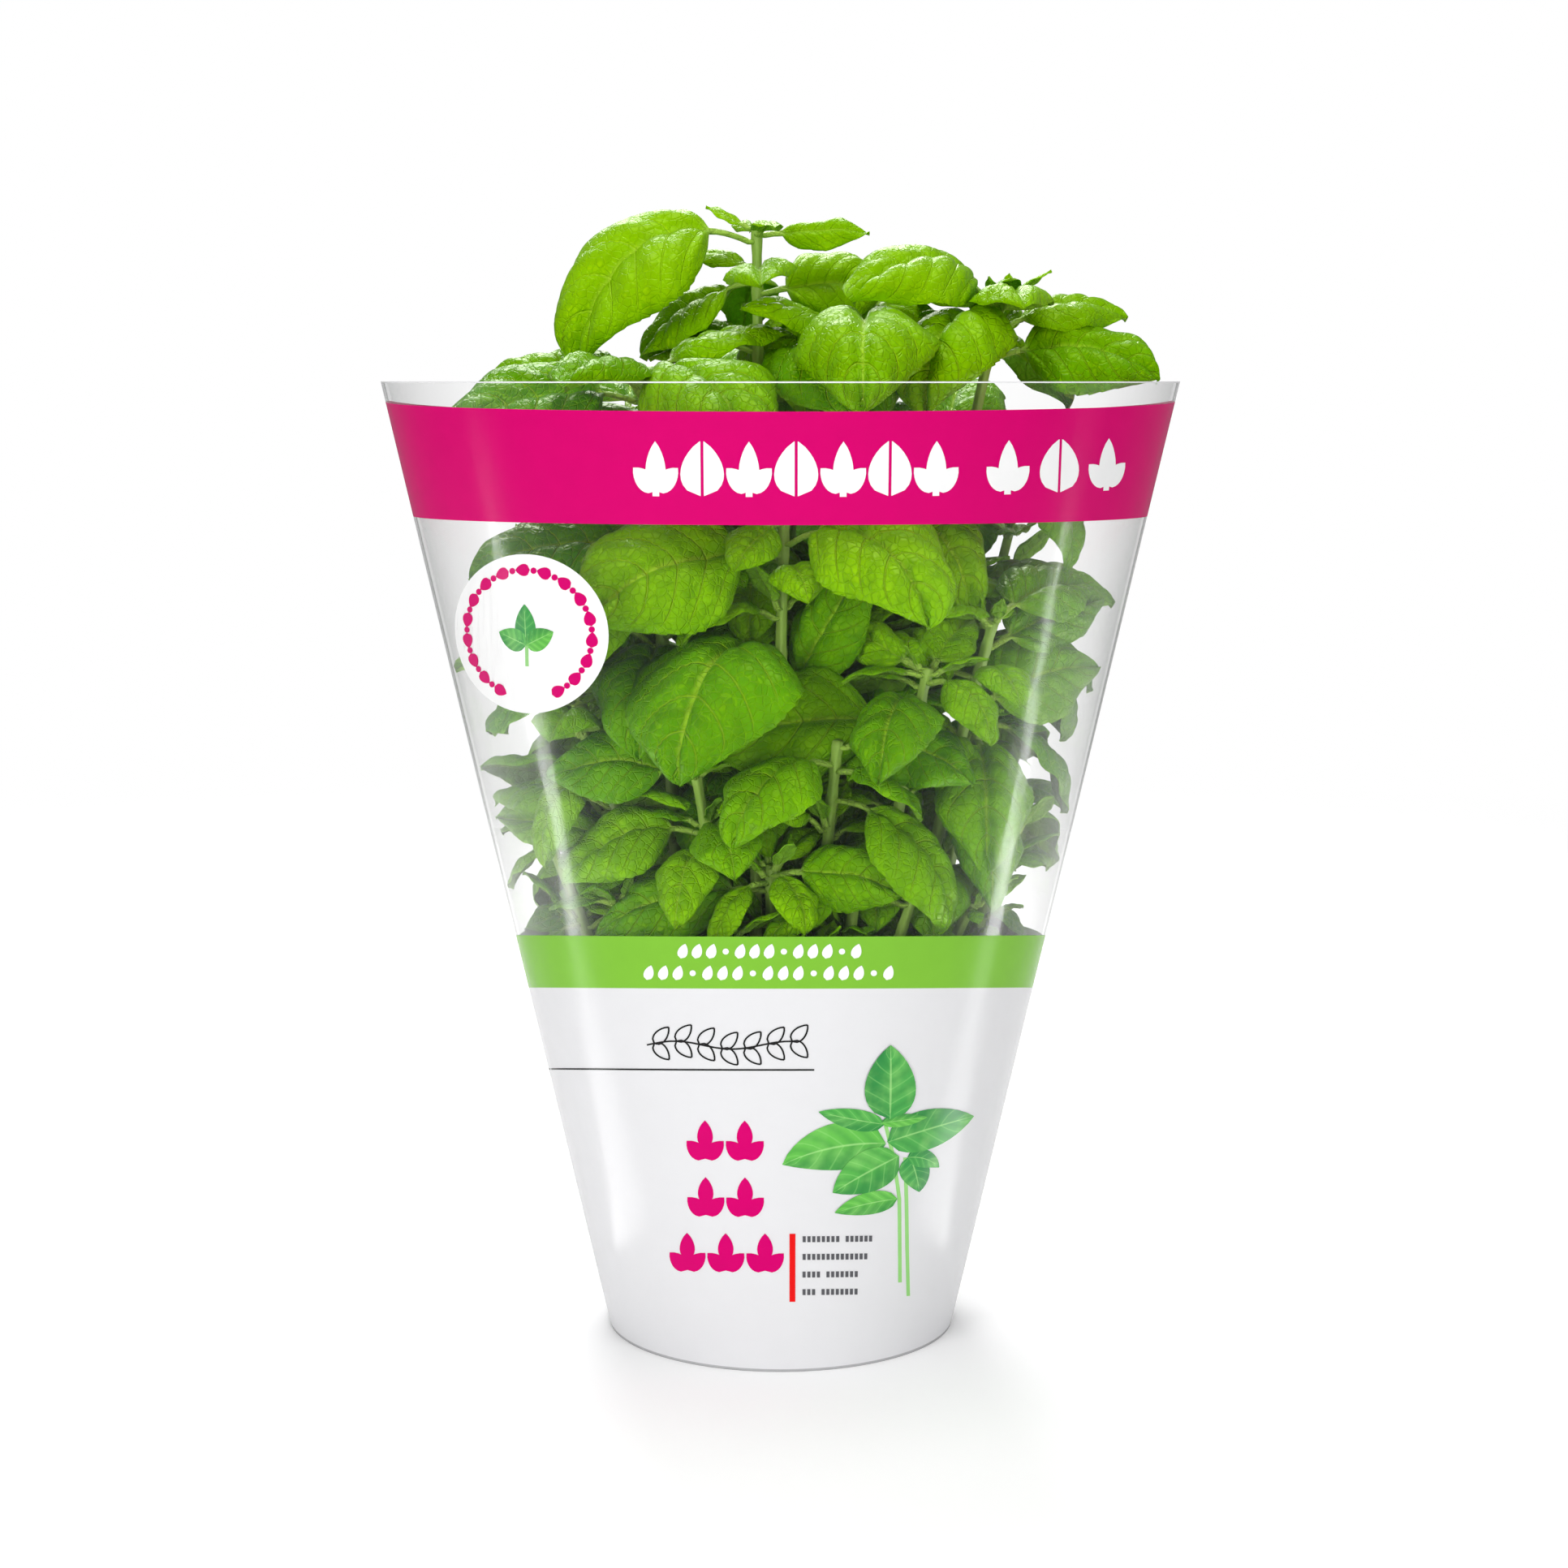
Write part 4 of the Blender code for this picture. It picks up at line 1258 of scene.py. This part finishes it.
class BASIL_OT_stalks(bpy.types.Operator):
    """Grows the square stalks with their nodes"""

    bl_idname = "basil.stalks"
    bl_label = "Stalks"

    def execute(self, context):
        finish = stalk_finish(context.scene.basil_plant)
        for name, stem in STEMS.items():
            self.stalk(name, stem).piece(f"stalk_{name}", [finish], "stem", [f"stem_{name}"])
        for name, stem in SHOOTS.items():
            self.stalk(name, stem).piece(f"shoot_{name}", [finish], "stem")
        return {"FINISHED"}

    def stalk(self, name, stem, around=16):
        """A stalk with four rounded corners, shallow furrows between them and a swelling at each node."""
        leaves = (*LEAVES.values(), *BETWEEN.values())
        nodes = sorted({leaf.height for leaf in leaves if leaf.stem == name})
        tall = stem.tip_height * MM + STALK_IN_SOIL
        rows = int(tall / STALK_ROW)
        points = []
        for i in range(rows + 1):
            height = tall * i / rows - STALK_IN_SOIL
            centre = stem_point(stem, height)
            ahead = (stem_point(stem, height + 0.001) - stem_point(stem, height - 0.001)).normalized()
            side = ahead.cross(Vector((0, 1, 0))).normalized()
            front = side.cross(ahead)
            swells = [math.exp(-(((height - node * MM) / NODE_SPREAD) ** 2)) for node in nodes]
            radius = stem_radius(stem, height) * (1 + NODE_SWELL * max(swells, default=0))
            for k in range(around):
                turn = math.tau * k / around
                square = 1 + 0.09 * math.cos(4 * turn) - 0.05 * (math.cos(4 * turn) < -0.9)
                points.append(centre + (side * math.cos(turn) + front * math.sin(turn)) * radius * square)
        faces = tube_faces(around, rows)
        foot, tip = tuple(range(around)), tuple(range(rows * around, rows * around + around))
        outward = points[0] - stem_point(stem, -STALK_IN_SOIL)
        if (points[1] - points[0]).cross(points[around] - points[0]).dot(outward) < 0:
            faces = [face[::-1] for face in faces] + [foot, tip[::-1]]
        else:
            faces += [foot[::-1], tip]
        stalk = Sheaf()
        stalk.add(points, faces)
        return stalk


class BASIL_OT_leaves(bpy.types.Operator):
    """Grows the framed leaves, and the smaller ones between them"""

    bl_idname = "basil.leaves"
    bl_label = "Leaves"

    def execute(self, context):
        plant = context.scene.basil_plant
        finish = leaf_finish(plant)
        for name, leaf in LEAVES.items():
            blade = Sheaf()
            add_leaf(blade, name, leaf, framed_growth(f"leaf_{name}", leaf), plant, 46, 20)
            blade.piece(f"blade_{name}", [finish], "leaf", [f"leaf_{name}"])
        thicket = Thicket()
        for name, leaf in BETWEEN.items():
            growth = thicket.settle(leaf)
            if growth is None:
                raise RuntimeError(f"there is no room for leaf {name}")
            blade = Sheaf()
            add_leaf(blade, name, leaf, growth, plant, 34, 14)
            blade.piece(f"small_{name}", [finish], "leaf")
        for stem_name in ALL_STEMS:
            spray = Sheaf()
            leaves = [*crown_of(stem_name)] if stem_name != "tall" else []
            leaves += pairs_on(stem_name, plant.spacing)
            for index, leaf in enumerate(leaves):
                growth = thicket.settle(leaf, shy=True)
                if growth is not None:
                    add_leaf(spray, f"{stem_name} {index}", leaf, growth, plant, 24, 12, 4)
            if spray.points:
                spray.piece(f"spray_{stem_name}", [finish], "leaf")
        return {"FINISHED"}


class BASIL_OT_sleeve(bpy.types.Operator):
    """Wraps the film sleeve with its printed bands"""

    bl_idname = "basil.sleeve"
    bl_label = "Sleeve"

    def execute(self, context):
        film = context.scene.basil_film
        materials = [
            # Partly painted shade: a mid-grey band along the foot that stands for the film's cut edge and
            # the shade along it.
            ink_finish("film edge and painted shade", (0.50, 0.50, 0.51)),
            ink_finish("white print", film.white, 0.02),
            ink_finish("green print", film.green),
            clear_finish(film),
            ink_finish("pink print", film.pink),
            # Painted highlight: a pale opaque band along the mouth, where the film's cut edge catches the
            # light.
            ink_finish("film rim highlight", (0.82, 0.82, 0.83)),
        ]
        self.wrap(film.thickness).piece("film_sleeve", materials, "film", ["sleeve"])
        return {"FINISHED"}

    def wrap(self, thickness):
        """The film's two faces, row by row up its bands, joined at its foot and its mouth."""
        bands, turns = film_bands(), film_turns()
        rows, finishes = [], []
        for band, above in zip(bands, bands[1:]):
            rows += [(band, above, step / band.rows) for step in range(band.rows)]
            finishes += [band.finish] * band.rows
        rows.append((bands[-1], bands[-1], 0.0))
        outer, inner = [], []
        for band, above, share in rows:
            for turn in turns:
                height = edge_height(band, turn) * (1 - share) + edge_height(above, turn) * share
                outer.append(film_place(turn, height))
                inner.append(film_place(turn, height, -thickness))
        count, columns = len(outer), len(turns)
        faces = []
        for a, b, c, d in tube_faces(columns, len(finishes)):
            faces += [(a, b, c, d), (count + a, count + d, count + c, count + b)]
        face_finishes = [finish for finish in finishes for _ in range(2 * columns)]
        last = len(finishes) * columns
        for j in range(columns):
            k = (j + 1) % columns
            faces.append((j, count + j, count + k, k))
            faces.append((last + j, last + k, count + last + k, count + last + j))
        face_finishes += [finishes[0], finishes[-1]] * columns
        sleeve = Sheaf()
        sleeve.add(outer + inner, faces, finishes=face_finishes)
        return sleeve


class BASIL_OT_print(bpy.types.Operator):
    """Prints the ornaments: the border, the roundel, the rules and the sprig"""

    bl_idname = "basil.print"
    bl_label = "Print"

    def execute(self, context):
        film = context.scene.basil_film
        white = ink_finish("white ink", (0.92, 0.92, 0.92), 0.02)
        pink = ink_finish("pink ink", film.pink)
        self.border(white)
        self.band_rows(white)
        self.roundel(white, pink)
        self.panel_ornaments(pink)
        self.rules()
        self.sprig()
        return {"FINISHED"}

    def border(self, ink):
        """White leaves and seeds along the pink band, in a long run and a short one."""
        outlines = []
        for start, count, pitch in ((-0.0330, 7, 0.0124), (0.0612, 3, 0.0149)):
            for k in range(count):
                x = start + pitch * k
                outlines += self.tuft(x) if (k + count) % 2 else self.split_leaf(x)
        print_piece("print_border", ink, outlines, BAND_ART)

    def tuft(self, x):
        """Three leaves on a short stalk."""
        foot = BORDER_HEIGHT - 0.0060
        leaves = ((0.80, 0.0086), (math.pi / 2, 0.0132), (math.pi - 0.80, 0.0086))
        outlines = [leaf_outline(x, foot, angle, length, 0.0054) for angle, length in leaves]
        return outlines + [bar(x - 0.0009, BORDER_HEIGHT - 0.0074, 0.0018, 0.0030)]

    def split_leaf(self, x, half=0.0072):
        """The two halves of an upright leaf that is split along its midrib."""
        shares = [k / 10 for k in range(11)]
        foot = BORDER_HEIGHT - half
        halves = []
        for side in (-1, 1):
            edge = [(x + side * (0.0006 + 0.0052 * blade_shape(s)), foot + 2 * half * s) for s in shares]
            midrib = x + side * 0.0004
            halves.append([(midrib, foot), *edge, (midrib, BORDER_HEIGHT + half)])
        return halves

    def band_rows(self, ink):
        """Two rows of white dashes and dots in the green band."""
        outlines = []
        for middle, start, end in ((0.1322, -0.0275, 0.0213), (0.1257, -0.0375, 0.0306)):
            count = round((end - start) / 0.0039)
            for k in range(count):
                x = start + (end - start) * k / (count - 1)
                if k % 4 == 3:
                    outlines.append(oval(x, middle, 0.0009, points=12))
                else:
                    lean = math.pi / 2 - 0.3
                    outlines.append(leaf_outline(x - 0.0006, middle - 0.0021, lean, 0.0046, 0.0029, 7))
        print_piece("print_band_rows", ink, outlines, GREEN_ART)

    def roundel(self, white, pink):
        """A white disc with a ring of pink leaves and a green seedling at its centre."""
        x, height = ROUNDEL_X, ROUNDEL_HEIGHT
        print_piece("print_roundel", white, [oval(x, height, 0.0242, 0.0225, 72)], ROUNDEL_ART)
        ring, count = [], 33
        for k in range(count):
            turn = math.radians(-62 + 304 * k / (count - 1))
            along_ring = (math.sin(turn), -math.cos(turn))
            spot = (x + 0.0196 * math.cos(turn), height + 0.0181 * math.sin(turn))
            if k % 2:
                ring.append(oval(*spot, 0.0009, points=12))
            else:
                base = (spot[0] + 0.0021 * along_ring[0], spot[1] + 0.0021 * along_ring[1])
                ring.append(leaf_outline(*base, turn + math.pi / 2, 0.0044, 0.0034, 7))
        print_piece("print_roundel_ring", pink, ring, ROUNDEL_INK)
        seedling = Sheaf()
        for angle, length, tone in ((1.57, 0.0115, 0.2), (0.42, 0.0092, 0.9), (2.72, 0.0092, 0.5)):
            drawn = Drawn(x, height - 0.0030, angle, length, 0.0064, 0.0, tone)
            add_picture_leaf(seedling, drawn, ROUNDEL_INK)
        stalk = stroke([(x, height - 0.0090), (x + 0.0002, height - 0.003)], 0.0010)
        add_art(seedling, stalk, ROUNDEL_INK, 0.2)
        seedling.piece("print_seedling", [picture_finish()], "film", sharp=PRINT_EDGE)

    def panel_ornaments(self, ink):
        """Three rows of bold pink tufts on the white panel."""
        outlines = []
        for middle, count in ((0.0743, 2), (0.0565, 2), (0.0387, 3)):
            for k in range(count):
                x = -0.0160 + 0.0115 * (k - (count - 1) / 2)
                for angle in (0.8, math.pi - 0.8):
                    outlines.append(leaf_outline(x, middle - 0.0055, angle, 0.0078, 0.0050, 8))
                outlines.append(leaf_outline(x, middle - 0.0020, math.pi / 2, 0.0085, 0.0046, 8))
        print_piece("print_pink_sprigs", ink, outlines, PANEL_ART)

    def rules(self):
        """The thin black rule and its leafy twig, the red bar and the short grey rules."""
        twig = [(-0.0385 + 0.0022 * k, 0.1040 + 0.0012 * math.sin(k * 0.42)) for k in range(20)]
        lines = [bar(-0.0735, 0.0962, 0.0831, 0.0005), stroke(twig, 0.0005)]
        for x, height in twig[1::3]:
            for side in (-1, 1):
                outline = leaf_outline(x, height, side * 0.85, 0.0066, 0.0036)
                lines.append(stroke(outline[:10], 0.00048))
                lines.append(stroke(outline[9:] + outline[:1], 0.00048))
        print_piece("print_rule_and_twig", ink_finish("black ink", (0.02, 0.02, 0.02)), lines, PANEL_ART)
        red = bar(0.0026, 0.0231, 0.0017, 0.0220)
        print_piece("print_red_bar", ink_finish("red ink", (0.80, 0.01, 0.01)), [red], PANEL_ART)
        dashes = []
        for height, runs in ((0.0424, (8, 6)), (0.0367, (14,)), (0.0310, (4, 7)), (0.0253, (3, 8))):
            x = 0.0064
            for count in runs:
                for _ in range(count):
                    dashes.append(bar(x, height, 0.0009, 0.0019))
                    x += 0.0014
                x += 0.0014
        print_piece("print_grey_rules", ink_finish("grey ink", (0.11, 0.11, 0.12)), dashes, PANEL_ART)

    def sprig(self):
        """A picture of a basil sprig beside the ornaments."""
        picture = Sheaf()
        stems = (
            [(0.0318, 0.0835), (0.0305, 0.0790), (0.0330, 0.0690), (0.0350, 0.0560), (0.0358, 0.0290)],
            [(0.0365, 0.0690), (0.0372, 0.0560), (0.0378, 0.0400), (0.0386, 0.0245)],
        )
        for line in stems:
            add_art(picture, stroke(line, 0.0011), PANEL_ART, 0.95)
        leaves = (
            Drawn(0.0378, 0.0695, -1.15, 0.0120, 0.0095, -0.3, 0.15),
            Drawn(0.0372, 0.0690, 0.10, 0.0110, 0.0060, -0.9, 0.30),
            Drawn(0.0310, 0.0740, 0.32, 0.0285, 0.0125, -0.1, 0.35),
            Drawn(0.0305, 0.0735, 3.10, 0.0310, 0.0150, 0.55, 0.80),
            Drawn(0.0300, 0.0795, 2.98, 0.0195, 0.0066, -0.1, 0.45),
            Drawn(0.0290, 0.0800, 0.12, 0.0140, 0.0040, 0.0, 0.90),
            Drawn(0.0342, 0.0560, 3.25, 0.0190, 0.0072, 0.25, 0.85),
            Drawn(0.0345, 0.0695, 3.60, 0.0225, 0.0130, 0.15, 0.55),
            Drawn(0.0315, 0.0812, 1.55, 0.0228, 0.0152, 0.05, 0.30),
        )
        for step, drawn in enumerate(leaves):
            add_picture_leaf(picture, drawn, PANEL_ART._replace(lift=0.00014 + 0.00003 * step))
        picture.piece("print_sprig", [picture_finish()], "film", sharp=PRINT_EDGE)


# Area lights: where each stands, what it faces, its width and height, and its power in watts.
Lamp = namedtuple("Lamp", "name place target width height power")
LAMPS = (
    Lamp("key", (-0.85, -1.35, 0.52), (0, 0, 0.2), 0.6, 0.6, 12),
    Lamp("fill", (1.10, -1.15, 0.45), (0, 0, 0.2), 0.7, 0.7, 6),
    Lamp("front", (0.10, -1.60, 0.16), (0, 0, 0.2), 0.8, 0.3, 4),
    Lamp("top", (0.05, -0.15, 1.60), (0, 0, 0.2), 0.9, 0.9, 12),
    Lamp("back", (-0.15, 1.0, 1.15), (0, 0, 0.25), 0.7, 0.7, 14),
)
WORLD_LIGHT = 0.25
FLOOR_RADIUS = 1.4
FLOOR_FADE = (0.5, 1.3)
WALL_RADIUS = 7.5


class BASIL_OT_stage(bpy.types.Operator):
    """Sets the floor, the backdrop, the lights and the camera"""

    bl_idname = "basil.stage"
    bl_label = "Stage"

    def execute(self, context):
        stage = context.scene.basil_stage
        context.scene.view_settings.view_transform = "Standard"
        self.floor(stage)
        self.backdrop()
        world = bpy.data.worlds.new("studio")
        context.scene.world = world
        world.use_nodes = True
        background = world.node_tree.nodes["Background"]
        background.inputs["Color"].default_value = (1, 1, 1, 1)
        background.inputs["Strength"].default_value = WORLD_LIGHT
        for lamp in LAMPS:
            self.area(lamp)
        for side in (-1, 1):
            self.floor_strip(side)
        camera = bpy.data.cameras.new("camera")
        camera.lens = stage.lens
        made = in_scene("camera", camera)
        made.location = (0.001, -stage.distance, SLEEVE_HEIGHT)
        made.rotation_euler = (math.pi / 2 - stage.tilt, 0, 0)
        context.scene.camera = made
        return {"FINISHED"}

    def floor(self, stage):
        """A pale disc that fades into the white round it."""
        shape = bmesh.new()
        bmesh.ops.create_circle(shape, cap_ends=True, radius=FLOOR_RADIUS, segments=96)
        finish = Finish("studio floor")
        far = finish.node("ShaderNodeVectorMath", {"operation": "LENGTH"}, {0: finish.place()}, output=1)
        matt = finish.principled(
            base_color=stage.floor, roughness=0.9, specular_ior_level=0.0, emission_color=(1, 1, 1),
            emission_strength=0.14)
        faded = finish.layered(far.between(*FLOOR_FADE), matt, finish.clear())
        self.staged("floor", shape, finish.done(faded))

    def backdrop(self):
        """A white wall all round, seen only by the camera."""
        shape = bmesh.new()
        bmesh.ops.create_uvsphere(shape, u_segments=48, v_segments=24, radius=WALL_RADIUS)
        finish = Finish("white wall")
        white = finish.node("ShaderNodeEmission", None, {"Color": (1, 1, 1), "Strength": 1.0})
        wall = self.staged("backdrop", shape, finish.done(white))
        for ray in ("diffuse", "glossy", "transmission", "shadow", "volume_scatter"):
            setattr(wall, f"visible_{ray}", False)

    def staged(self, name, shape, material):
        """The shape as a part of the stage."""
        mesh = bpy.data.meshes.new(name)
        shape.to_mesh(mesh)
        shape.free()
        mesh.materials.append(material)
        made = in_scene(name, mesh)
        return made

    def area(self, lamp):
        light = bpy.data.lights.new(lamp.name, "AREA")
        light.shape = "RECTANGLE"
        light.size = lamp.width
        light.size_y = lamp.height
        light.energy = lamp.power
        made = in_scene(lamp.name, light)
        made.location = lamp.place
        facing = Vector(lamp.target) - Vector(lamp.place)
        made.rotation_euler = facing.to_track_quat("-Z", "Y").to_euler()
        return made

    def floor_strip(self, side):
        """A long light on the floor to one side, seen only as a streak on the film."""
        near, far = Vector((side * 0.10, -0.03, 0.003)), Vector((side * 0.95, 0.09, 0.003))
        middle = (near + far) / 2
        strip = self.area(Lamp("strip", middle, middle + Vector((0, 0, 1)), 0.86, 0.05, 1.5))
        strip.rotation_euler = (math.pi, 0, math.atan2(far.y - near.y, far.x - near.x))
        strip.visible_camera = False
        strip.visible_diffuse = False


class BASIL_PT_panel(bpy.types.Panel):
    """Lists what builds the plant"""

    bl_idname = "BASIL_PT_panel"
    bl_label = "Potted Basil"
    bl_space_type = "VIEW_3D"
    bl_region_type = "UI"
    bl_category = "Basil"

    def draw(self, context):
        for group in GROUPS:
            box = self.layout.box()
            settings = getattr(context.scene, group)
            for name in settings.__annotations__:
                box.prop(settings, name)
        for operator in OPERATORS:
            self.layout.operator(operator.bl_idname)


GROUPS = {
    "basil_film": FilmSettings,
    "basil_plant": PlantSettings,
    "basil_pot": PotSettings,
    "basil_stage": StageSettings,
}
OPERATORS = (
    BASIL_OT_stage,
    BASIL_OT_pot,
    BASIL_OT_soil,
    BASIL_OT_stalks,
    BASIL_OT_leaves,
    BASIL_OT_sleeve,
    BASIL_OT_print,
)


def register():
    for name, group in GROUPS.items():
        bpy.utils.register_class(group)
        setattr(bpy.types.Scene, name, bpy.props.PointerProperty(type=group))
    for operator in OPERATORS:
        bpy.utils.register_class(operator)
    bpy.utils.register_class(BASIL_PT_panel)


def unregister():
    bpy.utils.unregister_class(BASIL_PT_panel)
    for operator in reversed(OPERATORS):
        bpy.utils.unregister_class(operator)
    for name, group in reversed(GROUPS.items()):
        delattr(bpy.types.Scene, name)
        bpy.utils.unregister_class(group)


def main():
    register()
    for operator in OPERATORS:
        getattr(bpy.ops.basil, operator.bl_idname.split(".")[1])()


if __name__ == "__main__":
    main()
